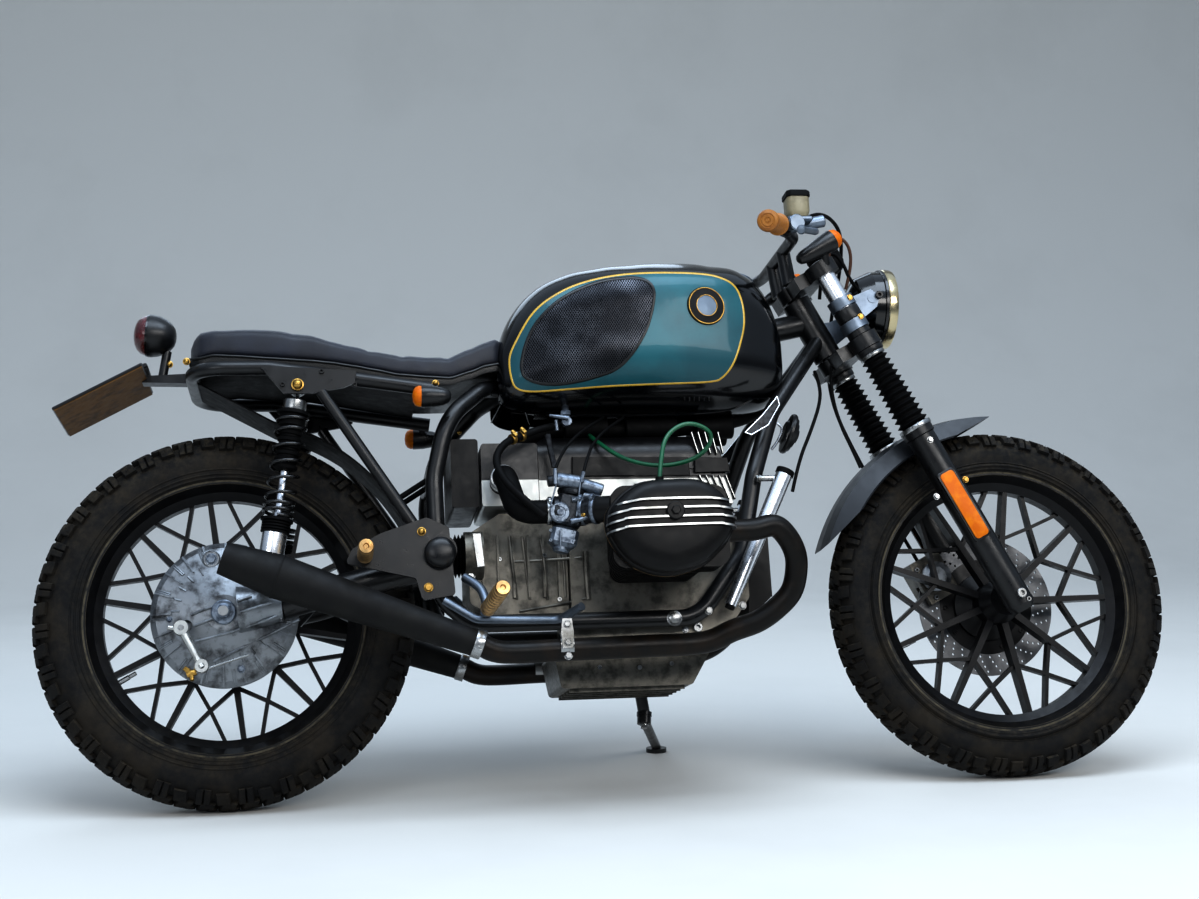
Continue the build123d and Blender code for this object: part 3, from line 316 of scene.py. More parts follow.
@dataclass(frozen=True)
class SplitCasting(Finish):
    """Casting painted black above a line and left bare below it."""

    bare: str = "#d9dad7"
    split_mm: float = 548.0

    def finish_off(self, tree: bpy.types.NodeTree, shader: bpy.types.Node,
                   where: bpy.types.NodeSocket) -> None:
        """Leave the metal bare below the line.

        Args:
            tree: the material's node tree.
            shader: its surface.
            where: object coordinates in metres.
        """
        row = Workshop.current.to_row
        height = row @ Vector((0, 0, self.split_mm))
        up = (row.to_3x3() @ Vector((0, 0, 1))).normalized()
        level = add_node(tree, "VectorMath", {"operation": "DOT_PRODUCT"}, i0=where, i1=up).outputs["Value"]
        line = up.dot(height)
        painted = add_node(tree, "MapRange", i0=level, i1=line - 0.0006, i2=line + 0.0006).outputs[0]
        stain = add_node(tree, "TexNoise", Vector=where, Scale=34.0, Detail=5.0).outputs["Fac"]
        raw = add_node(
            tree, "Mix", {"data_type": "RGBA"}, i0=stain, i6=linear(self.bare), i7=linear("#9f9f9a"),
        ).outputs[2]
        colour = add_node(
            tree, "Mix", {"data_type": "RGBA"}, i0=painted, i6=raw, i7=linear(self.colour),
        ).outputs[2]
        tree.links.new(colour, shader.inputs["Base Color"])
        metal = add_node(tree, "MapRange", i0=painted, i1=0.0, i2=1.0, i3=0.5, i4=0.0).outputs[0]
        tree.links.new(metal, shader.inputs["Metallic"])


# Finishes. Each line of comment says what the finish gives the eye.

# Satin black powder coat on tubes: soft narrow highlights, slightly cloudy from polish.
FRAME_BLACK = Finish("powder_coat_black", "#08090b", 0.34, aged="#0f1114", aged_share=0.4,
                     pattern=Pattern.CAST, grain_mm=1.2, grain_depth=0.02, dust="#3a3630", dust_amount=0.1)
# Satin black paint on cast spokes, with road dust on what faces up.
WHEEL_BLACK = Finish("wheel_paint_black", "#060608", 0.4, ior=1.35, aged="#0c0c10",
                     pattern=Pattern.CAST, grain_mm=1.6, grain_depth=0.03, dust="#4a4436", dust_amount=0.14)
# Moulded tyre rubber: matt, brownish dust in patches.
TYRE_RUBBER = Finish("tyre_rubber", "#0a0a0b", 0.78, ior=1.35, aged="#211c15", aged_share=0.5, aged_mm=70,
                     pattern=Pattern.CAST, grain_mm=1.1, grain_depth=0.1, dust="#5e5340", dust_amount=0.4)
# Moulded rubber and dull black plastic on boots, hoses, mudguard and seat pan: dark with a faint bloom.
SOFT_RUBBER = Finish("moulded_rubber", "#040405", 0.62, ior=1.22, aged="#08090a", aged_share=0.4,
                     pattern=Pattern.CAST, grain_mm=0.9, grain_depth=0.03)
# Two layers of gloss lacquer over black: mirror reflections with a dark blue cast.
TANK_BLACK = Finish("lacquer_black", "#030406", 0.16, coat=0.3, coat_rough=0.04, aged="#05070b", aged_mm=120,
                    rough_spread=0.02)
# Petrol blue paint with a little metal in it, under thin lacquer: deep colour with a soft, broad shine.
TANK_PETROL = Finish("lacquer_petrol_metallic", "#0a4b55", 0.46, metallic=0.12, coat=0.22, coat_rough=0.06,
                     aged="#0d5a64", aged_share=0.5, aged_mm=160, rough_spread=0.04, pattern=Pattern.CAST,
                     grain_mm=0.7, grain_depth=0.004)
# Hand painted enamel line: warm yellow ochre, glossy.
PINSTRIPE = Finish("enamel_ochre", "#c4a03a", 0.3, coat=0.3, aged="#b08c2e", aged_share=0.3)
# Woven wire over the recess in the tank's side: grey diamonds, brighter in patches of painted reflection.
GRILLE = WireMesh("woven_steel_mesh", "#6c6f76", 0.35, metallic=0.85)
# Bare spun disc in the badge ring: dull blue grey metal with fine turning marks.
BADGE_DISC = Finish("spun_aluminium", "#66727f", 0.45, metallic=1.0, pattern=Pattern.BRUSHED, grain_mm=0.8,
                    grain_depth=0.02)
# Black grained cowhide: fine cells, soft sheen, and a blue tint painted into its colour for the skylight it
# reflects.
LEATHER = Finish("cowhide_black", "#060b1a", 0.46, aged="#0b1426", aged_share=0.5, aged_mm=80,
                 pattern=Pattern.LEATHER, grain_mm=2.2, grain_depth=0.12, sheen=0.12)
# Pressed vinyl band round the seat's foot: finer grain and a harder shine than the leather.
VINYL = Finish("vinyl_black", "#060708", 0.36, aged="#0c0d10", pattern=Pattern.LEATHER, grain_mm=1.6,
               grain_depth=0.05)
# Sand cast aluminium, raw: grey with darker oil stains in its corners.
CAST_PALE = Finish("sand_cast_aluminium", "#8a8e92", 0.42, metallic=0.85, aged="#4c4d4f",
                   aged_share=0.45, aged_mm=24, pattern=Pattern.CAST, grain_mm=1.8, grain_depth=0.16)
# The same casting near the gearbox, darker with oil and road dirt.
CAST_DARK = Finish("oiled_cast_aluminium", "#716d65", 0.44, metallic=0.75, aged="#45433e",
                   aged_share=0.45, aged_mm=30, pattern=Pattern.CAST, grain_mm=2.0, grain_depth=0.2)
# The sump's casting: darker and blotched with burnt oil.
CAST_OILY = Finish("burnt_oil_cast_aluminium", "#5f5c55", 0.42, metallic=0.7, aged="#3b3934", aged_share=0.5,
                   aged_mm=18, pattern=Pattern.CAST, grain_mm=2.0, grain_depth=0.2)
# Heat resistant black on fins and covers: satin, a little brown with dust.
ENGINE_BLACK = Finish("engine_enamel_black", "#060607", 0.4, ior=1.32, aged="#0c0b0a", aged_share=0.4,
                      pattern=Pattern.CAST, grain_mm=1.4, grain_depth=0.05, dust="#332f29", dust_amount=0.12)
# The starter's cover: black enamel above, bare casting below.
COVER_SPLIT = SplitCasting("split_enamel_cover", "#09090b", 0.36, pattern=Pattern.CAST, grain_mm=1.6,
                           grain_depth=0.06)
# Bare milled aluminium on fin edges and the brake arm: bright and even.
MILLED = Finish("milled_aluminium", "#c2c3c0", 0.34, metallic=1.0, aged="#94948f", aged_share=0.3)
# Hard chrome on tubes and stays: bright, a little hazed by the road.
CHROME = Finish("hard_chrome", "#f2f4f8", 0.27, metallic=1.0, aged="#dde1e8", rough_spread=0.04)
# Aluminium brackets and levers, once polished: dull blue grey with a soft shine.
POLISHED = Finish("polished_aluminium", "#7e8894", 0.44, metallic=1.0, aged="#6a737d", aged_share=0.4,
                  rough_spread=0.04)
# Stainless bands, nuts and bolts: grey with drawn lines, dull in patches.
STAINLESS = Finish("stainless_steel", "#a5a6a6", 0.3, metallic=1.0, aged="#6f6e6a", aged_share=0.35,
                   pattern=Pattern.BRUSHED, grain_mm=0.9, grain_depth=0.02)
# Ground steel of the brake disc: dark grey from its pads, with fine turning marks.
DISC_STEEL = Finish("ground_steel", "#6b6c6e", 0.4, metallic=0.9, aged="#4c4d4f", pattern=Pattern.BRUSHED,
                    grain_mm=0.8, grain_depth=0.03)
# Glossy black lacquer on springs and lamp seals: crisp thin highlights.
SPRING_BLACK = Finish("spring_lacquer_black", "#060607", 0.26, coat=0.4, aged="#0c0c0e")
# Matt heat paint on mufflers and badge field: soft black without highlights.
HEAT_BLACK = Finish("heat_paint_black", "#09090a", 0.6, ior=1.35, aged="#11110f", aged_share=0.45, aged_mm=60,
                    pattern=Pattern.CAST, grain_mm=1.0, grain_depth=0.05)
# Header pipes: near black where the heat has browned the paint.
HEADER = Finish("heat_browned_steel", "#0a0806", 0.4, metallic=0.1, ior=1.35, aged="#1c130a",
                aged_share=0.5, aged_mm=50, pattern=Pattern.CAST, grain_mm=1.4, grain_depth=0.04)
# Turned brass: warm gold with fine rings, slightly tarnished.
BRASS = Finish("turned_brass", "#b69350", 0.34, metallic=1.0, aged="#86683a", aged_share=0.4, aged_mm=14)
# Turned pegs and cover gaskets of pale bronze: dull gold, browner in patches.
PEG_BRONZE = Finish("turned_bronze", "#c8a472", 0.36, metallic=0.9, aged="#94744a",
                    aged_share=0.4, aged_mm=18)
# Gum rubber grips: warm amber brown, a little waxy, darker where hands have been.
GUM = Finish("amber_gum", "#9c6622", 0.5, aged="#84501a", aged_share=0.4, aged_mm=26, coat=0.05,
             coat_rough=0.3)
# Amber acrylic lenses and reflectors.
AMBER = Finish("amber_acrylic", "#c46200", 0.42, ior=1.3, aged="#d27a00", aged_share=0.5, aged_mm=22,
               pattern=Pattern.LEATHER, grain_mm=2.6, grain_depth=0.06)
# Deep red acrylic tail lens: glossy, with a pressed pattern below the surface.
RED_LENS = Finish("red_acrylic", "#43050b", 0.14, coat=0.6, aged="#5c0810", aged_share=0.5, aged_mm=20,
                  pattern=Pattern.LEATHER, grain_mm=3.0, grain_depth=0.2)
# Clear lamp glass: sharp reflections, and the mirror shows through it.
LAMP_GLASS = Finish("pressed_glass", "#f2f5f5", 0.05, transmission=1.0, aged="#eef2f2", rough_spread=0.02)
# Milky plastic of the brake fluid pot: yellowed in patches.
CREAM_PLASTIC = Finish("milky_polypropylene", "#8c846c", 0.42, aged="#756d57", aged_share=0.4, aged_mm=20)
# Satin lacquer on the front fender: near black with a blue cast and dust on top.
FENDER_SMOKE = Finish("satin_smoke_grey", "#0b1119", 0.42, metallic=0.1, coat=0.08, coat_rough=0.2,
                      aged="#0b1118", aged_share=0.45, aged_mm=70, dust="#3c3e40", dust_amount=0.08)
# Khaki brown paint on the blank plate: matt, with darker rusty patches.
PLATE_KHAKI = Finish("khaki_sheet", "#654722", 0.7, ior=1.35, aged="#463018", aged_share=0.45, aged_mm=30,
                     pattern=Pattern.CAST, grain_mm=2.4, grain_depth=0.06)
# Green silicone plug leads: saturated, with a soft gloss.
LEAD_GREEN = Finish("silicone_green", "#0c5a3a", 0.35, aged="#084a30", coat=0.3)
# Brown cloth braid over the old wiring.
BRAID_BROWN = Finish("cloth_braid_brown", "#4a2a16", 0.6, aged="#2f1a0e",
                     pattern=Pattern.LEATHER, grain_mm=1.4, grain_depth=0.1)
# Oiled zinc on carburettor bodies, head brackets and the fuel pipe: dark grey, nearly black in patches.
GUNMETAL = Finish("oiled_zinc_casting", "#34373b", 0.4, metallic=0.8, aged="#15161a",
                  aged_share=0.5, aged_mm=9, pattern=Pattern.CAST, grain_mm=1.2, grain_depth=0.12)
# Passivated zinc on float bowls, linkages, tap and nuts: blue grey with darker stains.
ZINC = Finish("zinc_casting", "#7c8590", 0.4, metallic=0.85, aged="#434a54", aged_share=0.45, aged_mm=12,
              pattern=Pattern.CAST, grain_mm=1.2, grain_depth=0.1)
# Road dust caught in the rim's edge and on the sidewall.
RIM_DUST = Finish("dusty_rim_edge", "#4d4637", 0.85, aged="#1d1b17", aged_share=0.5, aged_mm=24)
# Nickel over brass on the lamp's rim: silver that warms to gold where it is worn.
BRASS_CHROME = Finish("worn_nickel_rim", "#c9bc9a", 0.2, metallic=1.0, aged="#a88548",
                      aged_share=0.45, aged_mm=50)
# Plain studio floor: matt pale grey.
FLOOR = Finish("studio_floor", "#cfcdc8", 0.9, aged="#cbc9c4", aged_mm=900)


class Pile:
    """Mesh being built from turned, swept and pressed shapes, in the bike's millimetres."""

    def __init__(self) -> None:
        """Start empty."""
        self.points: list[Vector] = []
        self.faces: list[tuple[int, ...]] = []

    def add(self, points: Sequence[Point], faces: Sequence[Sequence[int]]) -> None:
        """Add loose points and the faces between them.

        Args:
            points: places of the corners.
            faces: their corners, as numbers of points.
        """
        base = len(self.points)
        self.points.extend(Vector(p) for p in points)
        self.faces.extend(tuple(base + i for i in face) for face in faces)

    def grid(self, rows: Sequence[Sequence[Point]], around: bool = False, closed: bool = False) -> None:
        """Skin a grid of points.

        Args:
            rows: rows of points of one length.
            around: each row closes on itself.
            closed: the last row joins the first.
        """
        width = len(rows[0])
        faces = []
        for r in range(len(rows) if closed else len(rows) - 1):
            after = (r + 1) % len(rows)
            for c in range(width if around else width - 1):
                d = (c + 1) % width
                faces.append((r * width + c, r * width + d, after * width + d, after * width + c))
        self.add([p for row in rows for p in row], faces)

    def lathe(self, outline: Sequence[Point], origin: Point, axis: Point, steps: int = 32,
              closed: bool = False) -> None:
        """Turn an outline about an axis.

        Args:
            outline: (radius, height) points.
            origin: where height 0 is.
            axis: direction of growing height.
            steps: sides round.
            closed: the outline is a ring's section.
        """
        side, across, along = basis(axis)
        base = Vector(origin)
        rows = []
        for radius, height in outline:
            middle = base + along * height
            rows.append([
                middle + radius * (side * math.cos(turn) + across * math.sin(turn))
                for turn in (2 * math.pi * n / steps for n in range(steps))
            ])
        self.grid(rows, around=True, closed=closed)

    def rod(self, start: Point, end: Point, radius: float, steps: int = 20, chamfer: float = 0.0) -> None:
        """Round bar between two points, with small chamfers.

        Args:
            start: the middle of one end.
            end: the middle of the other.
            radius: of the bar.
            steps: sides round.
            chamfer: how far its ends are cut, or 0 for a usual cut.
        """
        length = (Vector(end) - Vector(start)).length
        edge = chamfer or min(0.8, radius / 4)
        outline = [(0, 0), (radius - edge, 0), (radius, edge), (radius, length - edge),
                   (radius - edge, length), (0, length)]
        self.lathe(outline, start, Vector(end) - Vector(start), steps)

    def tube(self, path: Sequence[Point], radius: float | Sequence[float], steps: int = 12) -> None:
        """Round tube along a path, with closed ends.

        Args:
            path: points close together.
            radius: one radius, or one a point.
            steps: sides round.
        """
        line = [Vector(p) for p in path]
        rows = []
        side, _, _ = basis(line[1] - line[0])
        for n, middle in enumerate(line):
            ahead = (line[min(n + 1, len(line) - 1)] - line[max(n - 1, 0)]).normalized()
            side = (side - ahead * side.dot(ahead)).normalized()
            across = ahead.cross(side)
            r = radius[n] if isinstance(radius, (list, tuple)) else radius
            rows.append([
                middle + r * (side * math.cos(t) + across * math.sin(t))
                for t in (2 * math.pi * k / steps for k in range(steps))
            ])
        rows = [[line[0]] * steps] + rows + [[line[-1]] * steps]
        self.grid(rows, around=True)

    def box(self, centre: Point, sizes: Point, turn: Matrix | None = None, chamfer: float = 1.0) -> None:
        """Box with chamfered edges.

        Args:
            centre: its middle.
            sizes: its three sizes.
            turn: its axes as columns, or None for the bike's own.
            chamfer: how far the edges are cut.
        """
        axes = turn or Matrix.Identity(3)
        hx, hy, hz = (s / 2 for s in sizes)
        c = min(chamfer, hx * 0.9, hy * 0.9, hz * 0.9)
        rows = []
        for z, inset in ((-hz, c), (-hz + c, 0), (hz - c, 0), (hz, c)):
            x, y = hx - inset, hy - inset
            ring = [(-x + c, -y), (x - c, -y), (x, -y + c), (x, y - c), (x - c, y), (-x + c, y), (-x, y - c),
                    (-x, -y + c)]
            rows.append([Vector(centre) + axes @ Vector((a, b, z)) for a, b in ring])
        self.grid(rows, around=True)
        self.cap(rows[0])
        self.cap(rows[-1])

    def cap(self, ring: Sequence[Point]) -> None:
        """Close a flat ring of points."""
        self.add(ring, [tuple(range(len(ring)))])

    def plate(self, outline: Sequence[Point], normal: Point, thickness: float, chamfer: float = 0.6) -> None:
        """Flat plate with eased edges.

        Args:
            outline: points of its back face, in order.
            normal: towards its front.
            thickness: how thick it is.
            chamfer: how far the front edge is eased.
        """
        up = Vector(normal).normalized()
        ring = [Vector(p) for p in outline]
        middle = sum(ring, Vector()) / len(ring)
        reach = max((p - middle).length for p in ring)
        shrink = 1 - chamfer / reach
        rows = [ring, [p + up * (thickness - chamfer) for p in ring],
                [middle + (p - middle) * shrink + up * thickness for p in ring]]
        self.grid(rows, around=True)
        self.cap(rows[0])
        self.cap(rows[-1])

    def bolt(self, origin: Point, axis: Point, across: float, head: Head = Head.HEX,
             tall: float = 0.0) -> None:
        """Bolt head on its washer.

        Args:
            origin: on the surface.
            axis: outwards.
            across: size across the head.
            head: its shape.
            tall: its height, or 0 for a usual one.
        """
        r = across / 2
        height = tall or across * 0.5
        base = Vector(origin) - Vector(axis).normalized() * 1.5
        if head is Head.HEX:
            self.lathe([(0, 0), (r * 1.35, 0), (r * 1.35, 2.4), (r * 1.28, 2.8), (0, 2.8)], base, axis, 24)
            self.lathe([(r * 1.13, 2), (r * 1.13, height + 1), (r * 0.9, height + 2.2), (0, height + 2.2)],
                       base, axis, 6)
        elif head is Head.SOCKET:
            self.lathe([(r, 0), (r, height + 0.8), (r * 0.9, height + 1.6), (r * 0.52, height + 1.6)],
                       base, axis, 24)
            self.lathe([(r * 0.52, height + 1.6), (r * 0.5, height * 0.4), (0, height * 0.4)], base, axis, 6)
        else:
            self.lathe([(r * 1.25, 0), (r * 1.25, 2.6), (r, 3)]
                       + [(r * math.cos(math.radians(a)), 3 + height * math.sin(math.radians(a)))
                          for a in (0, 25, 50, 75, 90)], base, axis, 24)

    def band(self, origin: Point, axis: Point, radius: float, width: float,
             screw: Point = (0, -1, 0)) -> None:
        """Hose or pipe clamp: a band with its screw housing.

        Args:
            origin: its middle.
            axis: along the pipe.
            radius: of the pipe.
            width: of the band.
            screw: the side that its screw is on.
        """
        along = Vector(axis).normalized()
        start = Vector(origin) - along * (width / 2)
        r = radius + 1.6
        self.lathe([(radius - 1, 0), (r, 0), (r + 0.5, 1), (r + 0.5, width - 1), (r, width),
                    (radius - 1, width)],
                   start, along, 40, closed=True)
        out = Vector(screw)
        out = (out - along * out.dot(along)).normalized()
        side = along.cross(out)
        turn = Matrix((along, side, out)).transposed()
        self.box(Vector(origin) + out * (r + 3), (width * 0.9, 9, 6), turn)
        self.bolt(Vector(origin) + out * (r + 3) + side * 4, side, 6.5, Head.HEX, 4)


def basis(axis: Point) -> tuple[Vector, Vector, Vector]:
    """Three unit vectors at right angles.

    Args:
        axis: direction of the third.

    Returns:
        Two vectors across the axis, and the axis itself.
    """
    along = Vector(axis).normalized()
    hint = Vector((0, 0, 1)) if abs(along.z) < 0.8 else Vector((1, 0, 0))
    side = hint.cross(along).normalized()
    return side, along.cross(side), along


def aside(point: Point, sign: float) -> Vector:
    """Point with its place beside the bike's middle times a sign."""
    return Vector((point[0], sign * point[1], point[2]))


def smooth_line(points: Sequence[Point], per: int = 8, closed: bool = False) -> list[Vector]:
    """Curve through points.

    Args:
        points: what it passes through.
        per: steps between neighbours.
        closed: whether it returns to its start.

    Returns:
        Points of the curve, without the first one repeated.
    """
    line = [Vector(p) for p in points]
    count = len(line)
    result = []
    for n in range(count if closed else count - 1):
        if closed:
            a, b, c, d = (line[(n + k) % count] for k in (-1, 0, 1, 2))
        else:
            a, b, c, d = (line[min(max(n + k, 0), count - 1)] for k in (-1, 0, 1, 2))
        for step in range(per):
            t = step / per
            result.append(0.5 * (2 * b + (c - a) * t + (2 * a - 5 * b + 4 * c - d) * t ** 2
                                 + (3 * b - a - 3 * c + d) * t ** 3))
    if not closed:
        result.append(line[-1])
    return result


class Workshop:
    """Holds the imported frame, leans pieces onto the stand, and puts them on their bodies."""

    current: "Workshop"
    wheelbase: float = 1400.0
    front_axle_z: float = 320.592
    rear_axle_z: float = 327.745
    # camera on the upright photograph: place in the leaning bike's own floor frame, turn, and lens in pixels
    eye: tuple[float, float, float] = (170.5, -3058.6, 673.6)
    yaw: float = -0.154
    pitch: float = 0.0215
    roll: float = -0.0105
    lens_px: float = 1774.5
    picture_width: int = 1199
    centre_px: tuple[float, float] = (600.0, 450.0)
    taut_below: float = 0.12

    def __init__(self) -> None:
        """Load the frame and work out where the upright bike's origin is in it."""
        Workshop.current = self
        self.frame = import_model()
        self.cad_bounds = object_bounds()
        low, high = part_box("front_axle")
        turned = Matrix.Rotation(-LEAN, 4, "X") @ Matrix.Scale(0.001, 4)
        shift = (low + high) / 2 - turned @ Vector((self.wheelbase, 0, self.front_axle_z))
        self.to_row = Matrix.Translation(shift) @ turned
        self.to_bike = self.to_row.inverted()
        self.trees: dict[str, BVHTree] = {}
        forward = Vector((-math.sin(self.yaw) * math.cos(self.pitch),
                          math.cos(self.yaw) * math.cos(self.pitch), -math.sin(self.pitch)))
        level = Vector((math.cos(self.yaw), math.sin(self.yaw), 0))
        upright = level.cross(forward)
        self.right = math.cos(self.roll) * level + math.sin(self.roll) * upright
        self.up = -math.sin(self.roll) * level + math.cos(self.roll) * upright
        self.forward = forward
        self.camera_at = Vector(self.eye) * 0.001 + Vector((shift.x, shift.y, 0))
        self.eye_bike = self.to_bike @ self.camera_at

    def ray(self, px: float, py: float) -> Vector:
        """Direction of a photograph's pixel, in the bike's frame.

        Args:
            px: pixels from the photograph's left.
            py: pixels from its top.

        Returns:
            The unit vector away from the camera.
        """
        across, down = px - self.centre_px[0], py - self.centre_px[1]
        row = across / self.lens_px * self.right - down / self.lens_px * self.up + self.forward
        return (self.to_bike.to_3x3() @ row).normalized()

    def beside(self, px: float, py: float, y: float) -> Vector:
        """Where a pixel's line of sight meets the plane at one distance beside the bike's middle."""
        way = self.ray(px, py)
        return self.eye_bike + way * ((y - self.eye_bike.y) / way.y)

    def tree(self, node: str) -> BVHTree:
        """Search tree of a CAD node, in the bike's frame.

        Args:
            node: the CAD node's name.

        Returns:
            The tree, built once and then kept.
        """
        if node not in self.trees:
            mesh = self.frame["nodes"][node].data
            points = [self.to_bike @ v.co for v in mesh.vertices]
            self.trees[node] = BVHTree.FromPolygons(points, [tuple(p.vertices) for p in mesh.polygons])
        return self.trees[node]

    def seen(self, point: Point, node: str) -> tuple[Vector, Vector] | None:
        """Where the line from the camera through a point meets a node.

        Args:
            point: in the bike's frame.
            node: the CAD node's name.

        Returns:
            The place and the outward normal, or None where the line misses.
        """
        way = (Vector(point) - self.eye_bike).normalized()
        place, normal, _, _ = self.tree(node).ray_cast(self.eye_bike, way)
        if place is None:
            return None
        return place, (normal if normal.dot(way) < 0 else -normal)

    def hit(self, px: float, py: float, nodes: Sequence[str] | None = None) -> tuple[Vector, Vector]:
        """First surface under a pixel.

        Args:
            px: pixels from the photograph's left.
            py: pixels from its top.
            nodes: CAD nodes that count, or None for all.

        Returns:
            The place and the normal towards the camera.
        """
        far = self.eye_bike + self.ray(px, py) * 1000
        found = [spot for node in nodes or self.frame["nodes"] if (spot := self.seen(far, node))]
        if not found:
            LOG.warning("nothing lies under pixel %s %s", px, py)
            return self.beside(px, py, -120.0), RIGHT
        return min(found, key=lambda spot: (spot[0] - self.eye_bike).length)

    def onto(self, node: str, x: float, z: float) -> Vector:
        """Point on a node's right face, straight in from beside the bike.

        Args:
            node: the CAD node's name.
            x: along the bike.
            z: height.

        Returns:
            The point, or one 100 mm to the right where the face is missed.
        """
        place = self.tree(node).ray_cast(Vector((x, -500, z)), -RIGHT)[0]
        return place if place else Vector((x, -100, z))

    def spots(self, points: Sequence[Point]) -> list[Vector]:
        """Places under pixels of the right side, each at its own distance beside the bike's middle."""
        return [self.beside(px, py, -y) for px, py, y in points]

    def on_skin(self, pixels: Sequence[Point], nodes: Sequence[str], proud: float = 1.0) -> list[Vector]:
        """Smooth line on the surfaces under some pixels, a little proud of them."""
        hits = [self.hit(px, py, nodes) for px, py in pixels]
        return smooth_line([place + normal * proud for place, normal in hits], 6)

    def bolt_on(self, pile: Pile, rows: Sequence[tuple], nodes: Sequence[str] | None = None) -> None:
        """Bolts on the right side, from rows of pixel, size and head."""
        for px, py, size, head in rows:
            pile.bolt(self.hit(px, py, nodes)[0], RIGHT, size, head)

    def body_of(self, node: str) -> str:
        """Name of the body that a node rides on.

        Args:
            node: the CAD node's name.

        Returns:
            The body's name in the record.
        """
        for name, members in self.frame["record"]["behaviour"]["bodies"].items():
            if node in members:
                return name
        raise KeyError(node)

    def paint(self, finish: Finish, *nodes: str) -> None:
        """Give CAD nodes a finish.

        Args:
            finish: their surface.
            nodes: the CAD nodes' names.
        """
        for node in nodes:
            thing = self.frame["nodes"][node]
            thing.data.materials.clear()
            thing.data.materials.append(finish.material())
            LOG.info("finish %s on %s", finish.name, node)

    def put(self, name: str, pile: Pile, finish: Finish, replaces: Sequence[str] = (), body: str = "chassis",
            crease: float = 32.0) -> bpy.types.Object:
        """Make an object of a pile and put it on its body.

        Args:
            name: the piece's name.
            pile: its shape.
            finish: its surface.
            replaces: CAD nodes that it stands for.
            body: the CAD body that it rides on.
            crease: edges sharper than this stay sharp, in degrees.

        Returns:
            The new object.
        """
        mesh = bpy.data.meshes.new(name)
        work = bmesh.new()
        points = [work.verts.new(self.to_row @ p) for p in pile.points]
        for face in pile.faces:
            corners = []
            for i in face:
                if points[i] not in corners:
                    corners.append(points[i])
            if len(corners) > 2:
                try:
                    work.faces.new(corners)
                except ValueError:
                    continue
        bmesh.ops.remove_doubles(work, verts=work.verts, dist=WELD)
        bmesh.ops.dissolve_degenerate(work, edges=work.edges, dist=SHORTEST)
        bmesh.ops.recalc_face_normals(work, faces=work.faces)
        for edge in work.edges:
            edge.smooth = len(edge.link_faces) != 2 or edge.calc_face_angle(0.0) < math.radians(crease)
        for face in work.faces:
            face.smooth = True
        work.to_mesh(mesh)
        work.free()
        mesh.materials.append(finish.material())
        thing = bpy.data.objects.new(name, mesh)
        bpy.context.scene.collection.objects.link(thing)
        self.seat(thing, body, replaces)
        LOG.info("piece %s, %d faces, on %s", name, len(mesh.polygons), body)
        return thing

    def seat(self, thing: bpy.types.Object, body: str, replaces: Sequence[str]) -> None:
        """Let a piece ride on its body, in place of the CAD nodes that it stands for.

        Args:
            thing: the piece.
            body: the CAD body that it rides on.
            replaces: CAD nodes that it stands for.
        """
        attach(thing, body)
        if replaces:
            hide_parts(*replaces)

    def lead(self, name: str, route: Sequence[Point], radius: float, finish: Finish,
             replaces: Sequence[str] = (), body: str = "chassis") -> None:
        """Cable or hose between two fittings, as one smooth curve.

        Args:
            name: the piece's name.
            route: its control points.
            radius: of the cable.
            finish: its surface.
            replaces: CAD nodes that it stands for.
            body: the CAD body that it rides on.
        """
        curve = bpy.data.curves.new(name, "CURVE")
        curve.dimensions = "3D"
        curve.resolution_u = 16
        spline = curve.splines.new("NURBS")
        spline.points.add(len(route) - 1)
        for slot, point in zip(spline.points, route):
            slot.co = (*(self.to_row @ Vector(point)), 1.0)
        spline.order_u = 3
        spline.use_endpoint_u = True
        thing = bpy.data.objects.new(name, curve)
        bpy.context.scene.collection.objects.link(thing)
        bpy.context.view_layer.update()
        bare = bpy.data.meshes.new_from_object(thing.evaluated_get(bpy.context.evaluated_depsgraph_get()))
        bpy.data.meshes.remove(bare)
        curve.bevel_depth = radius / 1000
        curve.bevel_resolution = 4
        curve.use_fill_caps = True
        curve.materials.append(finish.material())
        self.seat(thing, body, replaces)


def in_fork(n: float, y: float, s: float) -> Vector:
    """Point ahead of, beside and along the fork legs, from the front axle."""
    return Vector((Workshop.wheelbase + n * math.cos(RAKE) - s * math.sin(RAKE), y,
                   Workshop.front_axle_z + n * math.sin(RAKE) + s * math.cos(RAKE)))


FORK_AXIS = Vector((-math.sin(RAKE), 0, math.cos(RAKE)))
FORK_FRONT = Vector((math.cos(RAKE), 0, math.sin(RAKE)))


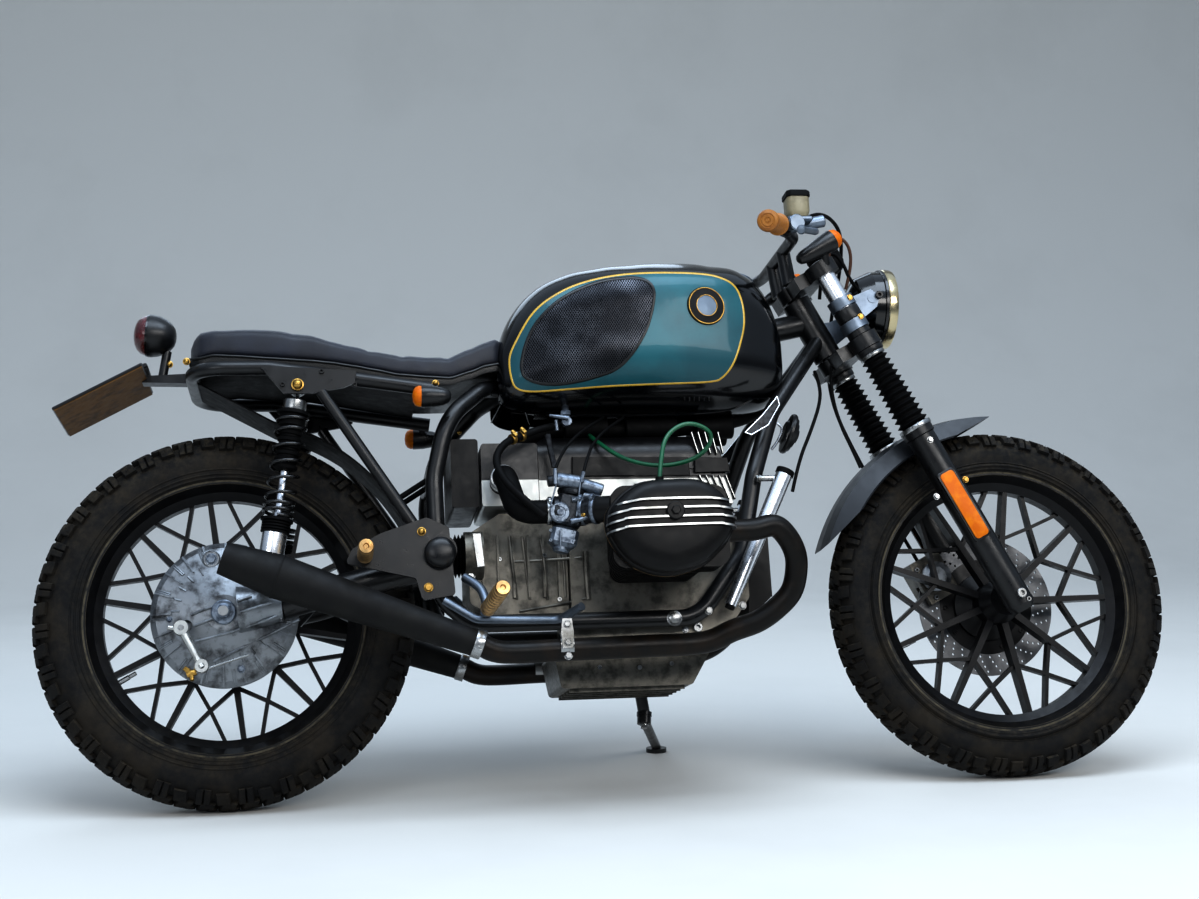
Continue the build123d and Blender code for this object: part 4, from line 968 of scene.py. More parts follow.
@dataclass
class Tyre:
    """Knobby tyre: bead, sidewall, three kinds of lugs and moulding hairs."""

    shop: Workshop
    node: str
    x: float
    z: float
    radius: float
    crown: float
    rim_radius: float = 241.0
    lug_height: float = 8.0
    pitches: int = 27
    hairs: int = 150

    def at(self, around: float, across: float, height: float) -> Vector:
        """Point on the tread.

        Args:
            around: degrees round the wheel.
            across: degrees over the tread, to the left.
            height: above the carcass.

        Returns:
            The point in the bike's frame.
        """
        reach = self.crown - self.lug_height + height
        r = self.radius - self.crown + reach * math.cos(math.radians(across))
        turn = math.radians(around)
        return Vector((self.x + r * math.cos(turn), reach * math.sin(math.radians(across)),
                       self.z + r * math.sin(turn)))

    def carcass(self, pile: Pile) -> None:
        """Skin from bead to bead with its moulded ridges.

        Args:
            pile: where it goes.
        """
        centre = self.radius - self.crown
        bare = self.crown - self.lug_height
        half = [(centre + bare * math.cos(math.radians(a)), bare * math.sin(math.radians(a)))
                for a in range(0, 97, 6)]
        end_r, end_y = half[-1]
        rim = self.rim_radius
        half += [
            (end_r - 4, end_y - 0.2), (end_r - 5, end_y + 0.8), (end_r - 6.4, end_y + 0.8),
            (end_r - 7.4, end_y - 0.6), (rim + 11, 47.6), (rim + 10, 48.8), (rim + 8.4, 48.8),
            (rim + 7.4, 47.2), (rim + 4.5, 46.4), (rim + 3.5, 47.0), (rim + 2, 46.6),
            (rim + 1, 44), (rim - 2, 42),
        ]
        outline = [(r, -y) for r, y in reversed(half[1:])] + half
        pile.lathe(outline, (self.x, 0, self.z), (0, 1, 0), 144)

    def lug(self, pile: Pile, u_low: float, u_high: float, low: float, high: float, skew: float) -> None:
        """One rubber block with tapering walls.

        Args:
            pile: where it goes.
            u_low: its start in pitches.
            u_high: its end in pitches.
            low: degrees across the tread where it starts.
            high: degrees where it ends.
            skew: how far its far end is shifted, in pitches.
        """
        pitch = 360.0 / self.pitches
        steps = 4
        rows = []
        for k in range(steps + 1):
            share = k / steps
            across = low + (high - low) * share
            lean = skew * share
            draw = 1.1 if k == 0 else -1.1 if k == steps else 0.0
            top_low, top_high = (u_low + lean) * pitch + 0.22, (u_high + lean) * pitch - 0.22
            rows.append([
                self.at((u_low + lean) * pitch - 0.1, across, -1.5),
                self.at(top_low, across + draw, self.lug_height - 0.8),
                self.at(top_low + 0.16, across + 1.6 * draw, self.lug_height),
                self.at(top_high - 0.16, across + 1.6 * draw, self.lug_height),
                self.at(top_high, across + draw, self.lug_height - 0.8),
                self.at((u_high + lean) * pitch + 0.1, across, -1.5),
            ])
        pile.grid(rows)
        pile.cap(rows[0])
        pile.cap(rows[-1])

    def build(self) -> None:
        """Build the tyre and put it in place of its node."""
        pile = Pile()
        self.carcass(pile)
        table = (
            # start and end in pitches, low and high across in degrees, skew in pitches
            (0.04, 0.23, 1.5, 15.5, 0.10), (0.25, 0.44, 1.5, 15.5, 0.10), (0.54, 0.73, 1.5, 15.5, 0.10),
            (0.75, 0.94, 1.5, 15.5, 0.10), (0.10, 0.46, 18.0, 31.0, 0.06), (0.60, 0.96, 18.0, 31.0, 0.06),
            (0.03, 0.205, 34.0, 62.0, 0.02), (0.22, 0.39, 34.0, 62.0, 0.02), (0.53, 0.86, 34.0, 55.0, -0.02),
        )
        for n in range(self.pitches):
            for u_low, u_high, low, high, skew in table:
                self.lug(pile, n + u_low, n + u_high, low, high, skew)
                self.lug(pile, n + u_low + 0.5, n + u_high + 0.5, -low, -high, skew)
        chance = random.Random(7)
        for _ in range(self.hairs):
            around = chance.uniform(24, 156)
            side = chance.choice((-1, 1))
            across = side * chance.uniform(40, 62)
            root = self.at(around, across, self.lug_height - 2)
            tip = self.at(around + chance.uniform(-0.6, 0.6), across, self.lug_height + chance.uniform(3, 7))
            pile.tube([root, (root + tip) / 2, tip], [0.55, 0.45, 0.2], 5)
        body = self.shop.body_of(self.node)
        self.shop.put(self.node + "_knobbly", pile, TYRE_RUBBER, [self.node], body, 28)


@dataclass
class Wheels:
    """Paint, rim dust, valves, drilled disc and the brake calliper's ribs."""

    shop: Workshop
    disc_outer: float = 130.0
    disc_inner: float = 88.0
    disc_y: float = 59.0
    disc_thickness: float = 5.0
    holes: int = 32
    hole_radius: float = 2.4

    def disc(self) -> None:
        """Drilled brake disc on its black carrier."""
        loops = []
        for radius, count in ((self.disc_outer, 120), (self.disc_inner, 90)):
            turns = [2 * math.pi * k / count for k in range(count)]
            loops.append([(radius * math.cos(t), radius * math.sin(t)) for t in turns])
        for ring, radius in enumerate((95.0, 104.0, 113.0, 122.0)):
            for n in range(self.holes):
                turn = 2 * math.pi * (n + 0.25 * ring) / self.holes
                middle = (radius * math.cos(turn), radius * math.sin(turn))
                loops.append([(middle[0] + self.hole_radius * math.cos(math.pi * k / 5),
                               middle[1] + self.hole_radius * math.sin(math.pi * k / 5)) for k in range(10)])
        points = [Vector(p) for loop in loops for p in loop]
        edges, rings, base = [], [], 0
        for loop in loops:
            ids = list(range(base, base + len(loop)))
            rings.append(ids)
            edges += [(ids[k], ids[(k + 1) % len(ids)]) for k in range(len(ids))]
            base += len(loop)
        flat, _, faces, _, _, _ = delaunay_2d_cdt(points, edges, [], 0, 1e-6)
        middles = [sum((Vector(p) for p in loop), Vector((0, 0))) / len(loop) for loop in loops[2:]]
        kept = []
        for face in faces:
            centre = sum((flat[i] for i in face), Vector((0, 0))) / len(face)
            if not self.disc_inner < centre.length < self.disc_outer:
                continue
            if all((centre - m).length > self.hole_radius - 0.1 for m in middles):
                kept.append(face)
        pile = Pile()
        x, z = self.shop.wheelbase, self.shop.front_axle_z
        faces_y = (self.disc_y - self.disc_thickness / 2, self.disc_y + self.disc_thickness / 2)
        for y in faces_y:
            pile.add([(x + p.x, y, z + p.y) for p in flat], kept)
        for ids in rings:
            pile.grid([[(x + points[i].x, y, z + points[i].y) for i in ids] for y in faces_y], around=True)
        self.shop.put("brake_disc_drilled", pile, DISC_STEEL, ["front_disc"], "front_wheel_body")
        carrier = Pile()
        carrier.lathe([(42, -4), (88, -3), (90, -2.6), (90, 2.6), (88, 3), (42, 4)], (x, self.disc_y, z),
                      (0, 1, 0), 64, True)
        for n in range(10):
            turn = 2 * math.pi * n / 10
            carrier.bolt((x + 80 * math.cos(turn), self.disc_y - 3, z + 80 * math.sin(turn)), RIGHT, 9,
                         Head.SOCKET, 3)
        self.shop.put("brake_disc_carrier", carrier, WHEEL_BLACK, body="front_wheel_body")

    def trims(self) -> None:
        """Dust in the rims' edges, and valves."""
        shop = self.shop
        for body, x, z, px, py in (("front_wheel_body", shop.wheelbase, shop.front_axle_z, 907, 645),
                                   ("rear_wheel_body", 0.0, shop.rear_axle_z, 124, 681)):
            name = body.split("_")[0]
            dust = Pile()
            for side in (-1, 1):
                dust.lathe([(233, side * 41.2), (237.5, side * 42.3), (239.5, side * 42.3),
                            (240.5, side * 41.5)],
                           (x, 0, z), (0, 1, 0), 144)
            shop.put(name + "_rim_dust", dust, RIM_DUST, body=body)
            valve = Pile()
            middle = Vector((x, 0, z))
            way = (shop.beside(px, py, 0) - middle).normalized()
            root = middle + way * 208.5
            valve.rod(root, root - way * 20, 4.4, 16)
            valve.rod(root - way * 20, root - way * 33, 3.6, 16)
            shop.put(name + "_valve", valve, STAINLESS, body=body)

    def calliper(self) -> None:
        """Ribbed piston housing on the calliper's inner side."""
        pile = Pile()
        outline = [(0, 0)]
        for n in range(5):
            outline += [(25, n * 4), (27.5, n * 4 + 1), (27.5, n * 4 + 2.4), (25, n * 4 + 3.4)]
        outline += [(21, 21), (17, 23), (17, 21), (0, 21)]
        pile.lathe(outline, in_fork(-66, 38, 96), RIGHT, 40)
        for n, s in ((-84, 62), (-52, 132), (-90, 124)):
            pile.bolt(in_fork(n, 37, s), RIGHT, 9, Head.SOCKET, 6)
        self.shop.put("calliper_ribs", pile, CAST_PALE, body="steering")

    def build(self) -> None:
        """Build it all."""
        self.shop.paint(WHEEL_BLACK, "front_wheel", "rear_wheel")
        self.shop.paint(STAINLESS, "front_axle", "rear_axle")
        self.shop.paint(CAST_DARK, "brake_calliper")
        self.disc()
        self.trims()
        self.calliper()


@dataclass
class Tank:
    """Lacquered tank with its petrol panel, ochre line, wire mesh inset and bare badge disc."""

    shop: Workshop
    stripe_width: float = 3.4
    badge_radius: float = 33.0
    stripe: tuple = (
        (494, 755), (496, 717), (506, 699), (535, 694), (600, 698), (675, 703), (760, 706),
        (847, 709), (872, 717), (893, 742), (908, 778), (918, 818), (916, 859), (903, 888), (876, 903),
        (842, 909), (790, 911), (737, 910), (692, 906), (650, 898), (612, 886), (580, 870), (553, 851),
        (531, 827), (509, 790),
    )
    inset: tuple = (
        (515, 747), (515, 732), (521, 719), (544, 709), (575, 707), (608, 711), (645, 720),
        (678, 732), (702, 751), (724, 779), (742, 812), (753, 848), (757, 873), (753, 888), (741, 897),
        (722, 901), (700, 900), (674, 897), (645, 889), (612, 875), (581, 856), (557, 834),
        (538, 810), (523, 778),
    )
    badge: tuple = (850, 849)
    sheet_rings: int = 22
    crown_low: float = 880.0
    crown_high: float = 968.0
    # place along the bike and how far the crown comes down there
    drops: tuple = ((540, 0), (600, 7), (667, 13), (734, 18), (800, 21), (868, 20), (932, 9), (977, 0))

    def on_side(self, x: float, z: float, proud: float) -> Vector:
        """Point on the tank's right side under a point of the photographed side view.

        Args:
            x: along the bike, seen 150 mm beside its middle.
            z: height there.
            proud: how far above the skin.

        Returns:
            The point in the bike's frame.
        """
        found = self.shop.seen((x, -150, z), "tank")
        if found is None:
            return Vector((x, -120, z))
        return found[0] + found[1] * proud

    def lowered(self, node: str) -> Pile:
        """Piece of the frame with its crown brought down to the photographed height.

        Args:
            node: the CAD node's name.

        Returns:
            Its mesh in the bike's millimetres.
        """
        mesh = self.shop.frame["nodes"][node].data
        points = [self.shop.to_bike @ v.co for v in mesh.vertices]
        middle = sum(p.x for p in points) / len(points)
        for p in points:
            if node == "tank":
                t = min(1.0, max(0.0, (p.z - self.crown_low) / (self.crown_high - self.crown_low)))
                p.z -= self.drop(p.x) * t * t * (3 - 2 * t)
            else:
                p.z -= self.drop(middle)
        pile = Pile()
        pile.add(points, [tuple(p.vertices) for p in mesh.polygons])
        return pile

    def drop(self, x: float) -> float:
        """How far the crown comes down at one place along the bike.

        Args:
            x: along the bike.

        Returns:
            The drop in millimetres.
        """
        table = self.drops
        for a, b in zip(table, table[1:]):
            if x <= b[0]:
                t = max(0.0, (x - a[0]) / (b[0] - a[0]))
                return a[1] + (b[1] - a[1]) * t * t * (3 - 2 * t)
        return 0.0

    def fill(self, outline: Sequence[Point], proud: float) -> Pile:
        """Sheet that lies on the skin inside an outline, on both sides.

        Args:
            outline: (x, z) points of the side view.
            proud: how far above the skin.

        Returns:
            The two sheets.
        """
        loop = smooth_line([(x, 0, z) for x, z in outline], 6, True)
        middle = sum(loop, Vector()) / len(loop)
        rows = []
        for ring in range(self.sheet_rings + 1):
            share = (ring + 0.02) / (self.sheet_rings + 0.02)
            rows.append([self.on_side(*(middle + (p - middle) * share).xz, proud) for p in loop])
        pile = Pile()
        for side in (1, -1):
            pile.grid([[aside(p, side) for p in row] for row in rows], around=True)
        return pile

    def ribbon(self, outline: Sequence[Point], width: float, proud: float) -> Pile:
        """Line of paint along an outline, on both sides.

        Args:
            outline: (x, z) points of the side view.
            width: of the line.
            proud: how far above the skin.

        Returns:
            The two lines.
        """
        loop = smooth_line([(x, 0, z) for x, z in outline], 10, True)
        count = len(loop)
        rows = []
        for n, p in enumerate(loop):
            ahead = (loop[(n + 1) % count] - loop[n - 1]).normalized()
            across = Vector((-ahead.z, 0, ahead.x)) * (width / 2)
            rows.append([self.on_side(*(p + across * share).xz, proud - sunk)
                         for share, sunk in ((-1, 0.4), (-0.8, 0), (0.8, 0), (1, 0.4))])
        pile = Pile()
        for side in (1, -1):
            pile.grid([[aside(p, side) for p in row] for row in rows], closed=True)
        return pile

    def build(self) -> None:
        """Build it all."""
        shop = self.shop
        skin, cap = self.lowered("tank"), self.lowered("filler_cap")
        shop.trees["tank"] = BVHTree.FromPolygons(skin.points, skin.faces)
        shop.put("tank_skin", skin, TANK_BLACK, ["tank"])
        shop.put("tank_cap", cap, POLISHED, ["filler_cap"])
        shop.put("tank_panel", self.fill(self.stripe, 0.9), TANK_PETROL, crease=SMOOTH)
        shop.put("tank_line", self.ribbon(self.stripe, self.stripe_width, 1.4), PINSTRIPE, crease=80)
        shop.put("tank_mesh", self.fill(self.inset, 1.5), GRILLE, crease=SMOOTH)
        shop.put("tank_mesh_rim", self.ribbon(self.inset, 5.0, 2.6), FRAME_BLACK, crease=80)
        rings = Pile()
        dark = Pile()
        disc = Pile()
        spot, normal = shop.seen((self.badge[0], -150, self.badge[1]), "tank")
        for side in (1, -1):
            at = aside(spot, side)
            out = aside(normal, side)
            base = at - out * 3
            r = self.badge_radius
            rings.lathe([(r - 1.4, 6), (r - 0.2, 7.8), (r + 0.8, 7.8), (r + 1.6, 6), (r + 1.6, 0)], base, out,
                        64)
            rings.lathe([(r - 14.6, 8), (r - 14, 9.4), (r - 13.2, 9.4), (r - 12.6, 8)], base, out, 64, True)
            dark.lathe([(r + 2.8, 0), (r + 2.8, 4), (r + 1.5, 6)], base, out, 64)
            dark.lathe([(r - 1, 7), (r - 8, 7.6), (r - 13.6, 8.4), (r - 13.6, 0)], base, out, 64)
            disc.lathe([(r - 13.6, 8.0), (6, 8.6), (0, 8.7)], base, out, 64)
        shop.put("badge_rings", rings, BRASS)
        shop.put("badge_field", dark, HEAT_BLACK)
        shop.put("badge_disc", disc, BADGE_DISC)
        seam = Pile()
        path = shop.on_skin(((500, 402), (503, 409), (512, 413), (545, 415), (585, 416),
                             (640, 416), (690, 414), (730, 410), (752, 400)),
                            ["tank"])
        for side in (1, -1):
            seam.tube([aside(p, side) for p in path], 1.6, 8)
        shop.put("tank_seam", seam, TANK_BLACK)
        marks = Pile()
        for n in range(6):
            place, out = shop.hit(685 + 4.9 * n, 401, ["tank"])
            top, _ = shop.hit(685 + 4.9 * n, 397.5, ["tank"])
            for side in (1, -1):
                ends = [aside(p, side) + aside(out, side) * 0.4 for p in (place, top)]
                marks.tube([ends[0], (ends[0] + ends[1]) / 2, ends[1]], 0.8, 6)
        shop.put("tank_vent_marks", marks, STAINLESS)


@dataclass
class Saddle:
    """Leather seat with its crowned pad, welt and lower band."""

    shop: Workshop
    rows: tuple = (
        # along the bike, half width, low, high
        (-58, 88, 760, 808), (-54, 96, 758, 818), (-42, 105, 757, 825), (-16, 113, 760, 828),
        (25, 117, 757, 828), (80, 120, 752, 827), (147, 121, 747, 817), (185, 121, 743, 804),
        (223, 120, 737, 795), (261, 119, 730, 785), (300, 117, 722, 780), (350, 112, 719, 776),
        (392, 106, 718, 778), (430, 100, 731, 795), (455, 97, 742, 808), (480, 93, 747, 816),
        (494, 90, 760, 812),
    )
    band_height: float = 13.0
    # place along the bike and depth of the slack creases
    creases: tuple = ((118, 1.2), (250, 2.0), (308, 2.6), (388, 2.2))

    def station(self, x: float) -> tuple[float, float, float]:
        """Half width, low and high at one place along the seat.

        Args:
            x: along the bike.

        Returns:
            The three sizes, eased between the table's rows.
        """
        table = self.rows
        for a, b in zip(table, table[1:]):
            if x <= b[0]:
                t = max(0.0, (x - a[0]) / (b[0] - a[0]))
                t = t * t * (3 - 2 * t) * 0.3 + t * 0.7
                return tuple(a[i] + (b[i] - a[i]) * t for i in (1, 2, 3))
        return table[-1][1:]

    def pad(self) -> Pile:
        """Crowned cushion above the band, with slack creases where the rider's dip begins.

        Returns:
            The cushion's mesh.
        """
        pile = Pile()
        count, around = 90, 56
        start, end = self.rows[0][0], self.rows[-1][0]
        rings = []
        for n in range(count + 1):
            share = n / count
            x = start + (end - start) * share
            half, low, high = self.station(x)
            end_pull = min(1.0, (0.35 + min(share, 1 - share) * count / 5))
            low += self.band_height - 1
            mid, tall = (low + high) / 2, (high - low) / 2
            ring = []
            for k in range(around):
                turn = 2 * math.pi * (k + 0.5) / around
                c, s = math.cos(turn), math.sin(turn)
                power = 2 / 3.6 if s > 0 else 2 / 7
                y = half * end_pull ** 0.35 * math.copysign(abs(c) ** power, c)
                z = mid + tall * (end_pull ** 0.3 if s > 0 else 1) * math.copysign(abs(s) ** power, s)
                crown = 2.5 * (1 - (y / half) ** 2) if s > 0 else 0
                crease = 1.5 * noise.noise(Vector((x / 46, y / 90, z / 60))) if s > -0.2 else 0
                pull = sum(deep * math.exp(-((x - spot) / 7) ** 2) for spot, deep in self.creases)
                bulge = 1 + 0.012 * math.sin((z - low) / (2 * tall) * math.pi)
                height = z + crown * 0.5 + crease - pull * (s > 0)
                ring.append((x, y * bulge - math.copysign(crease * 0.4, y), height))
            rings.append(ring)
        pile.grid(rings, around=True)
        for ring in (rings[0], rings[-1]):
            middle = tuple(sum(p[i] for p in ring) / len(ring) for i in range(3))
            pile.add([*ring, middle], [(k, (k + 1) % around, around) for k in range(around)])
        return pile

    def band(self) -> Pile:
        """Tight band under the pad.

        Returns:
            The band's mesh.
        """
        pile = Pile()
        rings = []
        for n in range(70):
            x = self.rows[0][0] + 2 + (self.rows[-1][0] - self.rows[0][0] - 4) * n / 69
            half, low, _ = self.station(x)
            w = half - 2.5
            h = self.band_height + 3
            rings.append([(x, -w + 6, low), (x, -w + 1, low + 1), (x, -w, low + 4), (x, -w, low + h),
                          (x, w, low + h), (x, w, low + 4), (x, w - 1, low + 1), (x, w - 6, low)])
        pile.grid(rings, around=True)
        pile.cap(rings[0])
        pile.cap(rings[-1])
        return pile

    def welt(self) -> Pile:
        """Piping in the seam between pad and band.

        Returns:
            The piping's mesh.
        """
        pile = Pile()
        right = []
        for n in range(80):
            x = self.rows[0][0] - 1 + (self.rows[-1][0] - self.rows[0][0]) * n / 79
            half, low, _ = self.station(x)
            right.append(Vector((x, -half + 0.5, low + self.band_height)))
        rear = [Vector((right[0].x - 1, y, right[0].z)) for y in (-60, -30, 0, 30, 60)]
        left = [aside(p, -1) for p in right]
        pile.tube(list(reversed(right)) + rear + left, 2.2, 8)
        return pile

    def build(self) -> None:
        """Build it all."""
        pad = self.shop.put("seat_pad", self.pad(), LEATHER, ["seat"], crease=50)
        self.shop.put("seat_band", self.band(), VINYL)
        self.shop.put("seat_welt", self.welt(), VINYL)
        self.shop.paint(SOFT_RUBBER, "seat_pan")


@dataclass
class RearEnd:
    """Subframe, shocks, final drive, tail lamp, plate and rear indicators."""

    shop: Workshop
    shock_top: tuple = (127.0, -131.0, 710.0)
    shock_bottom: tuple = (73.0, -131.0, 371.745)
    spring_radius: float = 24.8
    wire_radius: float = 3.1
    spring_foot: float = 113.0
    spring_head: float = 48.0
    coil_steps: int = 420
    # share of the spring's height and turns wound up to there
    winding: tuple = ((0.0, 0.0), (0.16, 2.6), (0.36, 4.0), (0.84, 7.0), (1.0, 8.6))

    def shocks(self) -> None:
        """Open coils round a chrome rod, on chrome and black sleeves."""
        springs, chrome, black, caps = Pile(), Pile(), Pile(), Pile()
        for side in (1, -1):
            top, bottom = aside(self.shock_top, side), aside(self.shock_bottom, side)
            side_way, across, along = basis(top - bottom)
            length = (top - bottom).length
            path = []
            low, high = self.spring_foot, length - self.spring_head
            for n in range(self.coil_steps):
                t = n / (self.coil_steps - 1)
                for (h, turn_low), (h_next, turn_high) in zip(self.winding, self.winding[1:]):
                    if t <= h_next:
                        turn = turn_low + (turn_high - turn_low) * ((t - h) / (h_next - h))
                        break
                angle = 2 * math.pi * turn
                path.append(bottom + along * (low + (high - low) * t)
                            + self.spring_radius * (side_way * math.cos(angle) + across * math.sin(angle)))
            springs.tube(path, self.wire_radius, 10)
            chrome.lathe([(0, 15), (17, 15), (20.5, 18), (21, 20), (21, 98), (19, 100), (8, 101), (7, 103),
                          (7, length - 70), (0, length - 70)], bottom, along, 48)
            outline = [(21.2, 84)]
            for ring in range(4):
                outline += [(24.5, 85 + 5 * ring), (24.5, 87.5 + 5 * ring), (21.4, 88.5 + 5 * ring)]
            outline += [(27.6, 105), (27.6, 109), (21, 111), (8, 111)]
            black.lathe(outline, bottom, along, 40)
            ribs = [(7.4, length - 150), (15, length - 148)]
            for ring in range(6):
                base = length - 146 + 12 * ring
                ribs += [(20, base), (21, base + 5), (17, base + 8), (17, base + 11)]
            ribs += [(22, length - 70), (22, length - 52), (28, length - 50), (28, length - 45),
                     (24, length - 43), (8, length - 42)]
            black.lathe(ribs, bottom, along, 40)
            caps.lathe([(8, length - 44), (19, length - 43), (20, length - 40), (20, length - 26),
                        (17, length - 23), (0, length - 22)], bottom, along, 40)
            for end in (top, bottom):
                caps.lathe([(6, -13), (14, -13), (15, -12), (15, 12), (14, 13), (6, 13)], end,
                           (0, 1, 0), 32, True)
                black.lathe([(5, -14), (9, -14), (9, 14), (5, 14)], end, (0, 1, 0), 24, True)
        shop = self.shop
        shop.put("shock_coils", springs, SPRING_BLACK, ["shock_springs"], crease=SMOOTH)
        shop.put("shock_rods", chrome, CHROME, ["shock_dampers"])
        shop.put("shock_sleeves", black, SOFT_RUBBER)
        shop.put("shock_caps", caps, STAINLESS)

    def drive(self) -> None:
        """Ribs, nuts and the brake arm on the final drive."""
        shop = self.shop
        ribs = Pile()
        for line in (
            # pixels along each long raised rib of the cover
            ((192, 615.5), (202, 611), (213, 607.5)), ((238.4, 601), (245, 599), (252, 597)),
            ((195, 626.4), (205, 622.5), (216.6, 618.4)), ((240.7, 612.7), (256, 608), (271.7, 603.5)),
            ((196, 642), (230.4, 632.7), (275, 617.2), (292, 609.2)),
            ((214.3, 662), (238, 650.5), (262.5, 638.5), (300, 620)),
        ):
            ribs.tube(shop.on_skin(line, ["final_drive"]), 2.5, 8)
        centre = Vector((0, 0, shop.rear_axle_z))
        short = [(14 + 24 * n + half, 96, 119) for n in range(15) for half in (0, 1.7)]
        short += [(turn, 74, 88) for turn in (118, 133, 148, 162, 176, 246, 261, 276, 291, 306, 320)]
        for turn, low, high in short:
            way = Vector((math.cos(math.radians(turn)), 0, math.sin(math.radians(turn))))
            spots = [centre + way * (low + (high - low) * k / 3) for k in range(4)]
            ribs.tube([shop.onto("final_drive", p.x, p.z) for p in spots], 2.0, 6)
        boss, _ = shop.hit(212, 560, ["final_drive"])
        ribs.lathe([(15, -6), (15, 3), (13, 5), (0, 5)], boss, RIGHT, 28)
        hub = Vector((0, -103, shop.rear_axle_z))
        shop.put("drive_ribs", ribs, CAST_PALE)
        nuts = Pile()
        nuts.lathe([(9, 0), (19.5, 0), (21, 1), (21, 3), (19, 4.4), (9, 4.4)],
                   hub + Vector((0, 1, 0)), RIGHT, 48)
        nuts.bolt(hub + Vector((0, -3, 0)), RIGHT, 22, Head.HEX, 12)
        nuts.bolt(boss + Vector((0, -4, 0)), RIGHT, 15, Head.HEX, 6)
        shop.bolt_on(nuts, ((241.8, 669.5, 10, Head.HEX), (170, 620, 8, Head.HEX), (270, 560, 8, Head.HEX)),
                     ["final_drive"])
        shop.put("drive_nuts", nuts, ZINC)
        arm = Pile()
        top = shop.beside(181.6, 628.7, -118)
        low = shop.beside(202.2, 666.6, -126)
        way = (low - top).normalized()
        arm.tube([top - way * 4, top + (low - top) * 0.3, top + (low - top) * 0.7, low + way * 3],
                 [8.4, 7, 6, 7], 14)
        arm.lathe([(5, -9), (12, -9), (13, -7), (13, 7), (12, 9), (5, 9)], top, RIGHT, 28, True)
        arm.lathe([(5, -6), (11, -6), (12, -4), (12, 4), (11, 6), (5, 6)], low, RIGHT, 24, True)
        arm.rod(top + Vector((-22, 0, 2)), top + Vector((-10, 0, 0)), 4)
        shop.put("rear_brake_arm", arm, MILLED, ["brake_lever"])
        pin = Pile()
        pin.rod(top + Vector((0, 12, 0)), top + Vector((0, -10, 0)), 5, 16)
        pin.rod(shop.beside(193, 674, -118), shop.beside(250, 655, -112), 2.2, 10)
        shop.put("brake_pin", pin, STAINLESS)
        wing = Pile()
        nut = shop.beside(192, 674, -118)
        wing.lathe([(0, -8), (5, -8), (6.5, 0), (5, 8), (0, 8)], nut, (1, 0, 0.3), 18)
        for px, py in ((184.4, 668.3), (192.5, 681)):
            tip = shop.beside(px, py, -122)
            wing.tube([nut, nut + (tip - nut) * 0.5, tip], [3, 4.6, 3.6], 10)
        shop.put("brake_rod_nut", wing, BRASS)

    def lamps(self) -> None:
        """Bullet tail lamp, rear indicators and the plate's trim."""
        shop = self.shop
        axis = Vector((-1, 0, 0.08)).normalized()
        base = Vector((-88, 0, 838))
        bucket, lens, ring = Pile(), Pile(), Pile()
        bucket.lathe([(0, 0), (8, 0.6), (16, 3), (24, 9), (31, 18), (36, 30), (38, 42), (38.2, 48),
                      (36, 49), (34, 47)],
                     base, axis, 56)
        lens.lathe([(35.5, 46), (35.6, 54), (33, 61), (27, 67.5), (19, 71.6), (9, 74), (0, 74.8)],
                   base, axis, 56)
        ring.lathe([(35, 48), (37.6, 48.4), (37.6, 51.4), (35.4, 52)], base, axis, 56, True)
        shop.put("tail_bucket", bucket, FRAME_BLACK, ["tail_lamp"])
        shop.put("tail_lens", lens, RED_LENS, crease=SMOOTH)
        shop.put("tail_lens_ring", ring, SPRING_BLACK)
        bodies, ends = Pile(), Pile()
        for side in (-1, 1):
            start = Vector((389, side * 162, 683))
            end = Vector((321.5, side * 162, 684))
            way = end - start
            long = way.length
            bodies.lathe([(0, 0), (6, 1), (11, 5), (15, 14), (18.4, 32), (19.6, 50), (19, 52), (17, 52)],
                         start, way, 36)
            ends.lathe([(18, 50), (18.4, 56), (16, 62), (10, 66), (0, long)], start, way, 36)
            bodies.rod(start + way * 0.5 + Vector((0, -side * 8, 2)), Vector((352, side * 128, 703)), 5.5)
        shop.put("rear_indicator_bodies", bodies, FRAME_BLACK, ["rear_indicators"])
        shop.put("rear_indicator_lenses", ends, AMBER, crease=SMOOTH)
        trim = Pile()
        slope = math.radians(28)
        way = Vector((-math.cos(slope), 0, -math.sin(slope)))
        up = Vector((-math.sin(slope), 0, math.cos(slope)))
        start = Vector((-139, 0, 760)) + up * 2.6
        corners = [start + Vector((0, -94, 0)), start + Vector((0, 94, 0)),
                   start + way * 163 + Vector((0, 94, 0)), start + way * 163 + Vector((0, -94, 0))]
        for a, b in zip(corners, corners[1:] + corners[:1]):
            trim.tube([a, (a + b) / 2, b], 3.2, 8)
        trim.box(start + way * 6 + up * 6, (34, 120, 9), Matrix((-way, Vector((0, 1, 0)), up)).transposed(),
                 2)
        for share in (0.12, 0.88):
            for y in (-62, 62):
                trim.bolt(start + way * 163 * share + Vector((0, y, 0)) - up * 1, up, 8, Head.DOME, 2.5)
        shop.put("plate_edge", trim, FRAME_BLACK)

    def build(self) -> None:
        """Build it all."""
        shop = self.shop
        shop.paint(FRAME_BLACK, "rear_subframe", "plate_arm", "swing_arm")
        shop.paint(SOFT_RUBBER, "rear_mudguard")
        shop.paint(CAST_PALE, "final_drive")
        shop.paint(PLATE_KHAKI, "number_plate")
        self.shocks()
        self.drive()
        self.lamps()


